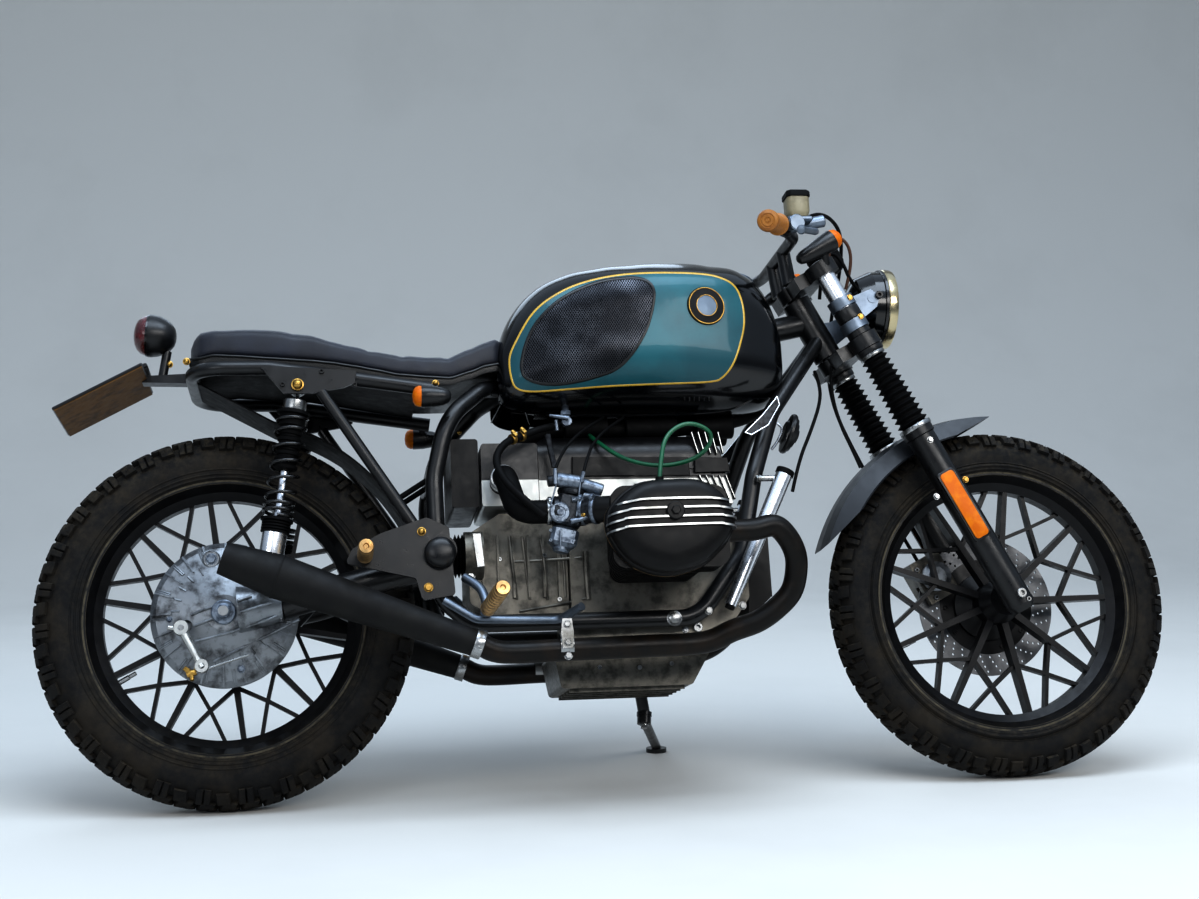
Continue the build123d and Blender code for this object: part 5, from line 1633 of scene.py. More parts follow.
@dataclass
class Engine:
    """Castings, valve covers, carburettors, leads and small hardware."""

    shop: Workshop
    crank_z: float = 424.0
    centres: tuple = ((-1, 734.0), (1, 772.0))
    head_end: float = 298.0
    cover_end: float = 344.0
    fin_heights: tuple = (38.0, 24.0, 10.0, -4.0)
    carb_back: float = 158.0
    carb_y: float = 222.0
    carb_rise: float = 42.0
    nut_rise: float = 17.0

    def outline(self, centre: float, sign: int, share: float, y: float) -> list[Vector]:
        """Rounded outline of a valve cover, scaled about its middle, at one distance beside the bike.

        Args:
            centre: the cylinder's place along the bike.
            sign: the side of the bike.
            share: how large it is, 1 at the gasket.
            y: how far beside the bike's middle.

        Returns:
            Points of the closed outline.
        """
        shape = [(-108, -14), (-108, 22), (-84, 52), (-50, 72), (0, 77), (52, 74), (90, 48),
                 (106, 10), (100, -18), (78, -46), (46, -70), (-6, -84), (-50, -76), (-84, -54)]
        return smooth_line([(centre + x * share, sign * y, self.crank_z + z * share) for x, z in shape], 5,
                           True)

    def covers(self) -> None:
        """Crowned covers with bright edged fins and a centre nut."""
        body, bright, ribs, gasket = Pile(), Pile(), Pile(), Pile()
        start, end = self.head_end, self.cover_end
        levels = ((1.0, start), (1.0, start + 9), (0.985, start + 12), (0.96, start + 13),
                  (0.955, start + 24), (0.93, start + 32), (0.87, start + 39), (0.76, end - 3),
                  (0.6, end - 1), (0.3, end - 0.5))
        for sign, centre in self.centres:
            rows = [self.outline(centre, sign, share, y) for share, y in levels]
            body.grid(rows, around=True)
            body.cap(rows[-1])
            gasket.grid([self.outline(centre, sign, 1.004, start - 2.5),
                         self.outline(centre, sign, 1.004, start + 0.6)],
                        around=True)
            for height in self.fin_heights:
                z = self.crank_z + height
                path = [(min_cross(self.outline(centre, sign, share, y), z, end_side), y)
                        for end_side, part in ((-1, levels[2:9]), (1, levels[8:1:-1])) for share, y in part]
                met = [(x, y) for x, y in path if x is not None]
                line = smooth_line([(x, sign * y, z - self.sag(x - centre)) for x, y in met], 4)
                self.fin(ribs, bright, line, centre, sign, z)
            for reach, radius, steps in ((6.5, 15, 28), (11, 8, 6)):
                body.rod((centre, sign * (end - 10), self.crank_z + self.nut_rise),
                         (centre, sign * (end + reach), self.crank_z + self.nut_rise), radius, steps, 1.5)
        shop = self.shop
        shop.put("valve_cover_shells", body, ENGINE_BLACK, ["valve_covers"], crease=34)
        shop.put("valve_cover_fins", ribs, ENGINE_BLACK)
        shop.put("valve_cover_edges", bright, MILLED)
        shop.put("valve_cover_gaskets", gasket, PEG_BRONZE)

    def sag(self, away: float) -> float:
        """How far a fin bends down at one distance from the cover's middle, more behind than ahead."""
        drop = 11.0 if away < 0 else 5.0
        return drop * min(1.0, abs(away) / 105) ** 2.5

    def fin(self, ribs: Pile, bright: Pile, line: list[Vector], centre: float, sign: int, z: float) -> None:
        """One fin over the cover's face, black with a bright milled edge.

        Args:
            ribs: where the black fin goes.
            bright: where its edge goes.
            line: where the fin meets the cover.
            centre: the cylinder's place along the bike.
            sign: the side of the bike.
            z: the fin's height.
        """
        middle = Vector((centre, sign * (self.head_end + 6), z))
        black, edge = [], []
        for n, p in enumerate(line):
            ahead = (line[min(n + 1, len(line) - 1)] - line[max(n - 1, 0)]).normalized()
            out = Vector((ahead.y, -ahead.x, 0)).normalized()
            if out.dot(p - middle) < 0:
                out = -out
            black.append([p - out * 2 + Vector((0, 0, -2.6)), p + out * 4.2 + Vector((0, 0, -2.1)),
                          p + out * 4.2 + Vector((0, 0, 2.1)), p - out * 2 + Vector((0, 0, 2.6))])
            edge.append([p + out * 4.0 + Vector((0, 0, -1.9)), p + out * 4.7 + Vector((0, 0, -1.6)),
                         p + out * 4.7 + Vector((0, 0, 1.6)), p + out * 4.0 + Vector((0, 0, 1.9))])
        ribs.grid(black, around=True)
        ribs.cap(black[0])
        ribs.cap(black[-1])
        bright.grid(edge, around=True)

    def carburettors(self) -> None:
        """Constant vacuum carburettors with domes, float bowls, linkages and stub clamps."""
        shop = self.shop
        metal, dark, bowl, steel, brass = (Pile() for _ in range(5))
        up = Vector((0.24, 0, 0.97)).normalized()
        turn = Matrix((Vector((up.z, 0, -up.x)), Vector((0, 1, 0)), up)).transposed()
        inlet, cover, front = 238, 243, 250
        for sign, centre in self.centres:
            out = Vector((0, sign, 0))
            middle = Vector((centre - self.carb_back, sign * self.carb_y, self.crank_z + self.carb_rise))

            def at(px: float, py: float, y: float) -> Vector:
                """Point under a pixel of the right carburettor, moved to this one."""
                p = shop.beside(px, py, -y)
                return Vector((p.x + centre - self.centres[0][1], sign * y, p.z))

            dark.lathe([(0, 0), (24, 0), (26, 2), (26, 9), (22, 11), (22, 42), (25, 44), (25, 54), (0, 54)],
                       middle - Vector((28, 0, 0)), (1, 0, 0), 40)
            dark.box(middle, (46, 46, 56), turn, 5)
            dark.lathe([(24, 0), (26, 3), (26, 8), (24, 10), (23, 20), (18, 25), (0, 26)],
                       middle + up * 26, up, 40)
            bowl.box(middle - up * 46, (46, 44, 34), turn, 6)
            bowl.lathe([(0, 0), (12, 0), (15, 4), (15, 12)], middle - up * 72, up, 28)
            metal.rod(at(556, 480, inlet), at(582, 484, inlet), 12.5, 32, 2)
            metal.rod(at(581, 484, inlet), at(603, 491, inlet), 10.4, 28, 1.5)
            metal.rod(at(578, 495, 236), at(600, 498, 236), 6, 20, 1)
            dark.rod(at(548, 482, inlet), at(557, 481, inlet), 9.5, 24, 1)
            choke = at(560.2, 513, cover)
            steel.lathe([(17.5, -4), (17.5, 2), (15.5, 4), (10, 4), (9, 2.6), (6, 2.6), (5, 5.6), (0, 6)],
                        choke, out, 36)
            for n in range(5):
                angle = 2 * math.pi * (n + 0.3) / 5
                steel.bolt(choke + Vector((13 * math.cos(angle), sign * 2, 13 * math.sin(angle))), out, 5,
                           Head.SOCKET, 3)
            lever = [at(px, py, front) for px, py in ((571, 522), (581, 520), (590, 516))]
            steel.tube(lever, [5.5, 3.4, 5], 12)
            brass.bolt(at(584.5, 515.5, 252), out, 7, Head.DOME, 4)
            for px, py in ((551, 541), (574, 541), (551, 531), (574, 533)):
                steel.bolt(at(px, py, cover), out, 5.5, Head.SOCKET, 3)
            for ends, radius in ((((557, 484), (551, 507)), 1.4), (((581, 482), (577, 517)), 1.6),
                                 (((556, 485), (555.5, 469)), 3.6), (((582, 483), (584, 472)), 3.6),
                                 (((561, 530), (561, 548)), 1.2)):
                steel.rod(*[at(px, py, front) for px, py in ends], radius, 10)
            coil = at(572, 500, 246)
            steel.tube([coil + Vector((k * 0.28, 4.5 * math.cos(k * 0.9), 4.5 * math.sin(k * 0.9)))
                        for k in range(70)],
                       0.9, 6)
            start = Vector((centre - self.carb_back + 8, sign * self.carb_y, self.crank_z + self.carb_rise))
            way = Vector((centre - 90, sign * 260, self.crank_z + 38)) - start
            dark.lathe([(20, 14), (22.6, 16), (22.6, 46), (20, 48)], start, way, 40)
            for share in (0.28, 0.58):
                steel.band(start + way * share, way, 22.5, 7, (0, sign, 1))
        shop.put("carb_bodies", dark, GUNMETAL, ["carburettors"])
        shop.put("carb_throttles", metal, ZINC)
        shop.put("carb_bowls", bowl, ZINC)
        shop.put("carb_linkages", steel, ZINC)
        shop.put("carb_screws", brass, BRASS)

    def hoses(self) -> None:
        """Clamps on the intake elbows, breathers, plug leads, throttle cables, fuel tap and dark coils."""
        shop = self.shop
        bands, fittings, ends = Pile(), Pile(), Pile()
        for sign, centre in self.centres:
            side = "right" if sign < 0 else "left"
            shift = centre - self.centres[0][1]

            def route(points: Sequence[Point]) -> list[Vector]:
                """Places under pixels of the right side, each at its own distance, moved to this side."""
                found = shop.spots(points)
                return [Vector((p.x + shift * n / (len(found) - 1), -sign * p.y, p.z))
                        for n, p in enumerate(found)]

            bands.band((centre - self.carb_back - 34, sign * self.carb_y, self.crank_z + self.carb_rise),
                       (1, 0, 0), 20.6, 8, (0, sign, 1))
            bands.lathe([(19, 0), (22, 1), (22, 8), (20.6, 9), (20.6, 20), (22.4, 21), (22.4, 29), (19, 30)],
                        (476, sign * 118, self.crank_z + 118), (0, sign, 0), 44)
            line = route(((560, 426, 112), (545, 428, 134), (524, 436, 152), (506, 442, 172), (495, 458, 196),
                          (502, 478, 226), (524, 500, 250), (545, 517, 252)))
            shop.lead("breather_hose_" + side, line, 6.6, SOFT_RUBBER)
            for n, share in ((2, 0.1), (2, 0.6)):
                fittings.band(line[n] + (line[n + 1] - line[n]) * share, line[n + 1] - line[n], 7.2, 8,
                              (0, sign, 0.4))
            plug = route(((590, 436, 60), (597, 442, 98), (625, 461, 150), (664, 468, 190), (702, 458, 215),
                          (716, 434, 235), (690, 421, 245), (666, 434, 255), (661, 462, 264),
                          (660, 480, 270)))
            shop.lead("plug_lead_" + side, plug, 3.8, LEAD_GREEN)
            ends.lathe([(0, 0), (8, 0), (9, 3), (9, 26), (7, 30), (7, 40), (0, 41)],
                       plug[-1] - Vector((0, 0, 36)), (0, 0, 1), 24)
            for name, points in (
                ("choke", ((555.5, 471, 248), (560, 458, 236), (570, 443, 200), (584, 430, 150),
                           (604, 418, 90))),
                ("throttle", ((584, 473, 248), (588, 457, 236), (594, 443, 205), (606, 430, 160),
                              (624, 418, 90))),
            ):
                shop.lead(f"{name}_cable_{side}", route(points[::-1]), 2.6, SOFT_RUBBER)
        shop.put("intake_clamps", bands, STAINLESS)
        shop.put("hose_clips", fittings, BRASS)
        shop.put("plug_caps", ends, SOFT_RUBBER)
        tap = Pile()
        base = shop.beside(566, 418, -118)
        tap.lathe([(0, 12), (8.5, 12), (9.5, 11), (9.5, 4), (7, 3), (7, -6), (0, -6)], base, (0, 0, 1), 6)
        tap.lathe([(0, -9), (8, -8), (8.6, -6), (8.6, 9), (0, 10)], base + Vector((0, -8, -10)),
                  (0, -1, 0), 24)
        tap.tube([base + Vector((2, -18, -6)), base + Vector((-14, -19, -3)), base + Vector((-31, -20, -1))],
                 [4.4, 3.4, 2.8], 12)
        tap.rod(base + Vector((-18, -8, -6)), base + Vector((-17, -8, -26)), 3.4, 16)
        tap.rod(base + Vector((0, 2, 4)), base + Vector((8, 50, 60)), 6)
        shop.put("fuel_tap", tap, ZINC)
        strap = Pile()
        strap.tube([shop.beside(px, py, -126) for px, py in ((548, 435), (551, 450), (555, 468))],
                   [5.4, 5.4, 5], 8)
        shop.put("fuel_pipe", strap, GUNMETAL)
        loom = Pile()
        spine = ((505, 0, 632), (590, -12, 656), (700, -16, 654), (820, -16, 658), (930, -10, 676),
                 (985, -6, 706))
        loom.tube(smooth_line(spine), 16, 14)
        for side in (-1, 1):
            for x, long in ((600, 80), (712, 96), (842, 70)):
                loom.rod((x, side * 30, 652), (x + long, side * 30, 654), 21, 28, 2)
        shop.put("ignition_coils", loom, SOFT_RUBBER)

    def starter(self) -> None:
        """Plain band, pads and bright edged fins on the starter's cover."""
        shop = self.shop
        dark, bright = Pile(), Pile()
        for sign in (-1, 1):
            y = -88.0

            def side(px: float, py: float, proud: float = 0.0) -> Vector:
                """Point of the cover's side under a pixel, on this side of the bike."""
                p = shop.beside(px, py, y - proud)
                return aside(p, -sign)

            out = Vector((0, sign, 0))
            band = [side(572, 458), side(688, 458), side(690, 476), side(572, 477)]
            dark.plate(band, out, 6, 1.5)
            pad = [side(694, 458), side(727, 459), side(730, 473), side(694, 474)]
            dark.plate(pad, out, 9, 2)
            for n in range(5):
                a, b = side(691 + 6.6 * n, 433), side(698 + 6.2 * n, 455)
                self.bar(dark, bright, a, b, out)
                c, d = side(699 + 6.6 * n, 476), side(711 + 6.0 * n, 500)
                self.bar(dark, bright, c, d, out)
        shop.put("starter_ribs", dark, ENGINE_BLACK)
        shop.put("starter_rib_edges", bright, MILLED)

    def bar(self, dark: Pile, bright: Pile, a: Vector, b: Vector, out: Vector) -> None:
        """Short fin between two points of the cover, with a milled edge.

        Args:
            dark: where the fin goes.
            bright: where its edge goes.
            a: its start on the cover.
            b: its end on the cover.
            out: away from the bike.
        """
        along = (b - a).normalized()
        side = along.cross(out)
        turn = Matrix((along, side, out)).transposed()
        middle = (a + b) / 2
        dark.box(middle + out * 3, ((b - a).length, 3.4, 8), turn, 0.8)
        bright.box(middle + out * 7.4, ((b - a).length - 1, 1.7, 1.4), turn, 0.4)

    def hardware(self) -> None:
        """Bolts, plugs and pads on the castings."""
        shop = self.shop
        steel = Pile()
        where = ["engine_block", "gearbox", "sump", "front_cover", "starter_cover", "engine_stays",
                 "exhaust_pipes", "frame"]
        shop.bolt_on(steel, (
            (675, 619, 20, Head.HEX), (686, 630, 9, Head.HEX), (709, 611, 11, Head.HEX),
            (743, 606, 11, Head.HEX), (698, 628, 16, Head.SOCKET), (566, 631, 11, Head.HEX),
            (569, 656, 11, Head.HEX), (471, 577, 13, Head.HEX), (600, 668, 8, Head.SOCKET),
            (640, 668, 8, Head.SOCKET), (672, 664, 8, Head.SOCKET), (500, 560, 8, Head.SOCKET),
            (545, 556, 8, Head.SOCKET), (560, 600, 8, Head.SOCKET),
        ), where)
        band = shop.hit(479, 550)[0].y - 3
        corners = ((473, 534), (481, 534), (485, 567), (478, 568))
        steel.plate([shop.beside(px, py, band) for px, py in corners], RIGHT, 3)
        shop.put("engine_bolts", steel, STAINLESS)
        ribs = Pile()
        for line, radius in (
            (((509.8, 537), (513, 565), (517.5, 600)), 2.4), (((522.6, 537), (526, 565), (530.3, 600)), 2.4),
            (((541.7, 540), (545, 565), (548.1, 600)), 2.4), (((563.4, 556), (565, 575), (566, 598)), 2.4),
            (((512, 562.4), (540, 561), (582, 558)), 2.2), (((520, 612), (555, 606), (587, 599)), 2.4),
            (((586, 552), (587, 575), (589, 600)), 5.0),
        ):
            ribs.tube(shop.on_skin(line, ["gearbox", "engine_block"]), radius, 8)
        shop.put("gearbox_ribs", ribs, CAST_DARK)

    def build(self) -> None:
        """Build it all."""
        shop = self.shop
        shop.paint(CAST_OILY, "sump")
        shop.paint(CAST_DARK, "gearbox", "engine_block")
        shop.paint(ENGINE_BLACK, "cylinders", "front_cover", "battery_box")
        shop.paint(COVER_SPLIT, "starter_cover", "air_box")
        shop.paint(SOFT_RUBBER, "intake_hoses", "shaft_boot")
        shop.paint(HEAT_BLACK, "mufflers")
        self.covers()
        self.carburettors()
        self.hoses()
        self.starter()
        self.hardware()


def min_cross(loop: list[Vector], z: float, side: int) -> float | None:
    """Where a closed outline crosses one height, on its front or rear side.

    Args:
        loop: points of the outline.
        z: the height.
        side: 1 for the most forward crossing, -1 for the rearmost.

    Returns:
        The place along the bike, or None where the outline misses that height.
    """
    found = []
    for a, b in zip(loop, loop[1:] + loop[:1]):
        if (a.z - z) * (b.z - z) < 0:
            found.append(a.x + (b.x - a.x) * (z - a.z) / (b.z - a.z))
    if not found:
        return None
    return max(found) if side > 0 else min(found)


@dataclass
class Chassis:
    """Frame finish, foot rests, stays, header pipes and clamps, bolts and the horn."""

    shop: Workshop
    muffler_joint: tuple = (425.0, 190.0, 249.0)
    muffler_end: tuple = (4.0, 210.0, 402.0)
    peg_rings: int = 9

    def pegs(self) -> None:
        """Turned bronze pegs on their arms."""
        shop = self.shop
        pegs, arms = Pile(), Pile()
        for side in (-1, 1):
            for start, end in (((436, -176, 308), (453, -300, 329)), ((236, -152, 408), (236, -262, 408))):
                a, b = aside(start, -side), aside(end, -side)
                length = (b - a).length
                outline = [(0, 6), (9, 6), (11, 9)]
                step = (length - 18) / self.peg_rings
                for n in range(self.peg_rings):
                    low = 10 + (length - 18) * n / self.peg_rings
                    outline += [(12.4, low), (13.2, low + 1.2), (13.2, low + step - 2.4),
                                (12.4, low + step - 1.2)]
                outline += [(13, length - 6), (11.5, length - 0.5), (5, length), (3.4, length - 3),
                            (0, length - 3)]
                pegs.lathe(outline, a, b - a, 36)
                way = (b - a).normalized() * 8
                arms.rod(a - way, a + way, 9.5)
            low, elbow = Vector((404, side * 133, 372)), Vector((438, side * 178, 312))
            arms.tube(smooth_line([low, (low + elbow) / 2 + Vector((8, 0, 6)), elbow], 8), 8, 14)
        shop.put("turned_pegs", pegs, PEG_BRONZE, ["foot_rests"])
        shop.put("peg_arms", arms, POLISHED)

    def bolts(self) -> None:
        """Brass bolts of the build, and plain ones."""
        shop = self.shop
        brass, black = Pile(), Pile()
        shop.bolt_on(brass, (
            (422, 532, 12, Head.DOME), (429, 588, 12, Head.HEX), (298, 385, 17, Head.DOME),
            (436, 384, 10, Head.DOME), (170, 365, 10, Head.DOME), (187, 362, 10, Head.DOME),
            (460, 433, 7, Head.DOME),
        ))
        shop.put("brass_bolts", brass, BRASS)
        shop.bolt_on(black, ((283, 385, 9, Head.SOCKET), (355, 385, 9, Head.SOCKET),
                             (322, 372, 9, Head.SOCKET)),
                     ["rear_subframe", "seat_pan"])
        cap, _ = shop.hit(441, 553, ["side_plates"])
        for side in (-1, 1):
            centre = Vector((cap.x, side * abs(cap.y), cap.z))
            black.lathe([(27, -4), (27, 2), (25, 6), (19, 10), (10, 12), (0, 12.5)], centre, (0, side, 0), 48)
        shop.put("black_bolts", black, FRAME_BLACK)

    def exhaust(self) -> None:
        """Clamps, hangers and muffler ends of the exhaust."""
        shop = self.shop
        steel = Pile()
        for side in (-1, 1):
            joint, end = aside(self.muffler_joint, side), aside(self.muffler_end, side)
            way = (end - joint).normalized()
            steel.band(joint + way * 6, way, 22.5, 16, (0, side, -0.6))
            hang = Vector((566, side * 190, 243))
            steel.lathe([(19.5, -11), (21.6, -11), (21.6, 11), (19.5, 11)], hang, (1, 0, 0), 36, True)
            outline = ((-9, -6), (9, -6), (11, 20), (8, 44), (-8, 44), (-11, 20))
            steel.plate([hang + Vector((x, side * 20, z)) for x, z in outline], (0, side, 0), 4)
            for z in (4, 34):
                steel.bolt(hang + Vector((0, side * 24, z)), (0, side, 0), 10, Head.HEX)
        shop.put("exhaust_clamps", steel, STAINLESS)
        inside = Pile()
        for side in (-1, 1):
            joint, end = aside(self.muffler_joint, side), aside(self.muffler_end, side)
            length = (end - joint).length
            inside.lathe([(23.6, length - 1), (23.4, length - 80), (0, length - 80)], joint, end - joint, 40)
            inside.lathe([(37.2, 0.79 * length - 2), (38, 0.79 * length), (37.2, 0.79 * length + 2)], joint,
                         end - joint, 56)
        shop.put("muffler_trim", inside, HEAT_BLACK)

    def horn(self) -> None:
        """Round horn with pressed rings, and the brackets with their wires below the steering head."""
        shop = self.shop
        start = Vector((1004, -58, 636))
        end = Vector((1030, -58, 626))
        way = end - start
        pile = Pile()
        pile.lathe([(0, -4), (20, -4), (24, 0), (36, 2), (38, 5), (38, 9), (36, 12), (33, 12), (31, 16),
                    (24, 16), (22, 20), (14, 20), (12, 24), (0, 27)], start, way, 56)
        shop.put("horn_shell", pile, FRAME_BLACK, ["horn"])
        wire = Pile()
        low = [shop.beside(px, py, -70) for px, py in ((770, 420), (782, 428), (779, 440), (772, 450))]
        wire.tube(smooth_line(low, 6), 2.6, 10)
        brackets = Pile()
        outline = [shop.beside(px, py, -146) for px, py in (
            (745.3, 433.4), (763.2, 415.5), (777.3, 397.6), (779.6, 405.6), (768.4, 425.8), (751.5, 435.7))]
        for side in (-1, 1):
            ring = [aside(p, -side) for p in outline]
            brackets.plate(ring, (0, side, 0), 4)
            edge = [p + Vector((0, side * 3.4, 0)) for p in ring]
            for a, b in zip(edge, edge[1:] + edge[:1]):
                wire.tube([a, (a + b) / 2, b], 1.2, 8)
        shop.put("head_brackets", brackets, GUNMETAL)
        shop.put("head_bracket_edges", wire, CHROME)

    def stays(self) -> None:
        """Bright tapering stays between the cradle and the engine, with black caps and a pin at the top."""
        shop = self.shop
        tubes, caps, pins = Pile(), Pile(), Pile()
        top, low = shop.beside(785, 474, -153), shop.beside(731, 606, -153)
        pin = shop.beside(758, 479, -150)
        for side in (-1, 1):
            a, b, c = (aside(p, -side) for p in (top, low, pin))
            tubes.tube([a, a + (b - a) * 0.35, a + (b - a) * 0.7, b], [15, 14, 12, 10.5], 28)
            way = (b - a).normalized()
            caps.rod(a - way * 7, a + way * 3, 16.5, 28)
            caps.rod(b - way * 2, b + way * 6, 8.5, 20)
            pins.rod(c, Vector((a.x - 4, c.y, c.z)), 5.5, 16)
            pins.bolt(Vector((c.x + 4, c.y - side * 2, c.z)), (-1, 0, 0), 11, Head.HEX, 6)
        shop.put("stay_tubes", tubes, CHROME, ["engine_stays"])
        shop.put("stay_caps", caps, SOFT_RUBBER)
        shop.put("stay_pins", pins, STAINLESS)

    def headers(self) -> None:
        """Header pipes, bent in one smooth sweep from the ports to the mufflers."""
        shop = self.shop
        pile = Pile()
        bend = shop.spots((
            (773.5, 526, 259), (786, 535, 254), (795.5, 553, 246), (796.7, 572, 236), (791.7, 592, 226),
            (777.7, 608, 217), (758.7, 621.5, 209), (733.4, 631, 200)))
        run = [(800, -191, 242), (700, -190, 239), (566, -190, 237), (462, -190, 236), (425, -190, 249)]
        for side, ahead in ((-1, 0.0), (1, 38.0)):
            port = [Vector((822 + ahead, -262, 420)), Vector((880 + ahead * 0.6, -262, 421))]
            route = [aside(p, -side) for p in port + bend + run]
            pile.tube(smooth_line(route, 7), 19.0, 28)
        shop.put("header_sweeps", pile, HEADER, ["exhaust_pipes"])

    def stand(self) -> None:
        """Bolt of the side stand."""
        pile = Pile()
        eye = Vector((750, 140, 138))
        axis = Vector((0.0933, 0.162, 0.982))
        pile.bolt(eye - axis * 9, -axis, 12, Head.HEX)
        self.shop.put("stand_bolt", pile, STAINLESS, body="stand")

    def build(self) -> None:
        """Build it all."""
        shop = self.shop
        shop.paint(FRAME_BLACK, "frame", "side_plates", "side_stand")
        shop.paint(POLISHED, "pedals")
        self.pegs()
        self.bolts()
        self.exhaust()
        self.horn()
        self.stays()
        self.headers()
        self.stand()


@dataclass
class FrontEnd:
    """Fork, lamp, gauge, bar and everything else that steers."""

    shop: Workshop
    leg_y: float = 94.0
    leg_length: float = 352.0
    gaiter_top: float = 507.0
    folds: int = 12
    grip_rings: int = 14

    def gaiters(self) -> None:
        """Sharp folded rubber gaiters with their bands, and the collars above them."""
        rubber, steel, collars = Pile(), Pile(), Pile()
        for side in (-1, 1):
            foot = in_fork(0, side * self.leg_y, 0)
            low = self.leg_length + 0.5
            fold = (self.gaiter_top - low - 8) / self.folds
            outline = [(18.3, low - 6), (28.6, low - 6), (28.6, low + 3), (26, low + 4)]
            for n in range(self.folds):
                swell = 30.0 - 4.4 * n / self.folds
                s = low + 4 + n * fold
                outline += [(swell - 7.5, s + 0.1 * fold), (swell - 1.4, s + 0.42 * fold),
                            (swell, s + 0.5 * fold), (swell - 1.4, s + 0.58 * fold),
                            (swell - 7.5, s + 0.9 * fold)]
            outline += [(21, self.gaiter_top - 4), (21, self.gaiter_top + 3), (18.3, self.gaiter_top + 3)]
            rubber.lathe(outline, foot, FORK_AXIS, 56)
            steel.band(in_fork(0, side * self.leg_y, low - 1), FORK_AXIS, 29, 8, (-0.5, side, 0))
            steel.band(in_fork(0, side * self.leg_y, self.gaiter_top - 1), FORK_AXIS, 22, 7, (-0.8, side, 0))
            for ring in (
                # seal, lower collar, yoke nut and top cap of each tube
                [(18.3, 509), (25, 510), (26, 512), (26, 520), (18.3, 521)],
                [(18.3, 548), (22.5, 549), (22.5, 559), (18.3, 560)],
                [(18.3, 581), (23.6, 582), (24, 584), (24, 603), (23.6, 605), (18.3, 606)],
                [(0, 707.5), (12, 707.5), (17, 706), (18.2, 703)],
            ):
                collars.lathe(ring, foot, FORK_AXIS, 48)
        shop = self.shop
        shop.put("folded_gaiters", rubber, SOFT_RUBBER, ["fork_gaiters"], "steering", 40)
        shop.put("gaiter_bands", steel, STAINLESS, body="steering")
        shop.put("fork_collars", collars, FRAME_BLACK, body="steering")

    def legs(self) -> None:
        """Reflectors, and the bolts of legs, fender and lamp ears."""
        shop = self.shop
        lens, rim, steel, brass = Pile(), Pile(), Pile(), Pile()
        for side in (-1, 1):
            out = Vector((0, side, 0))
            turn = Matrix((FORK_FRONT, out, FORK_AXIS)).transposed()
            middle = in_fork(-8, side * (self.leg_y + 26 + 3.2), 187)
            corner = 7.0
            for pile, half_n, half_s, low, high in ((rim, 18.0, 70.0, -3.0, 3.4),
                                                    (lens, 14.2, 66.2, -2.0, 5.4)):
                loop = []
                for cn, cs, first in ((1, 1, 0), (-1, 1, 90), (-1, -1, 180), (1, -1, 270)):
                    for k in range(6):
                        a = math.radians(first + 18 * k)
                        across = cn * (half_n - corner) + corner * math.cos(a)
                        loop.append((across, cs * (half_s - corner) + corner * math.sin(a)))
                rows = []
                for share, y in ((1.0, low), (1.0, high - 1.2), (0.965, high)):
                    rows.append([middle + turn @ Vector((n * share, y, s * share)) for n, s in loop])
                pile.grid(rows, around=True)
                pile.cap(rows[-1])
            steel.bolt(in_fork(8, side * (self.leg_y + 22), -16), out, 9, Head.SOCKET, 6)
            steel.bolt(in_fork(0, side * (self.leg_y + 30), 0), out, 17, Head.SOCKET, 5)
            steel.rod(in_fork(-18, side * self.leg_y, -6), in_fork(26, side * self.leg_y, -6), 5.5)
            steel.bolt(in_fork(2, side * (self.leg_y + 25), 318), out, 9, Head.HEX)
        shop.put("reflector_rims", rim, FRAME_BLACK, ["fork_reflectors"], "steering")
        shop.put("reflector_lenses", lens, AMBER, body="steering")
        for px, py in ((850, 298), (861, 317)):
            place, _ = shop.hit(px, py, ["lamp_ears", "fork_tubes"])
            brass.bolt(place, RIGHT, 8.5, Head.HEX, 3)
            brass.bolt(aside(place, -1), -RIGHT, 8.5, Head.HEX, 3)
        shop.bolt_on(brass, ((966, 480, 9, Head.HEX),), ["fork_legs", "front_fender"])
        shop.put("fork_brass_bolts", brass, BRASS, body="steering")
        shop.bolt_on(steel, ((937, 497, 9, Head.HEX),), ["fork_legs"])
        shop.put("fork_bolts", steel, STAINLESS, body="steering")
        dark = Pile()
        place, _ = shop.hit(879, 296, ["lamp_ears"])
        for side in (-1, 1):
            dark.bolt(Vector((place.x, side * abs(place.y), place.z)), (0, side, 0), 14, Head.SOCKET, 7)
        shop.put("lamp_pivot_bolts", dark, FRAME_BLACK, body="steering")

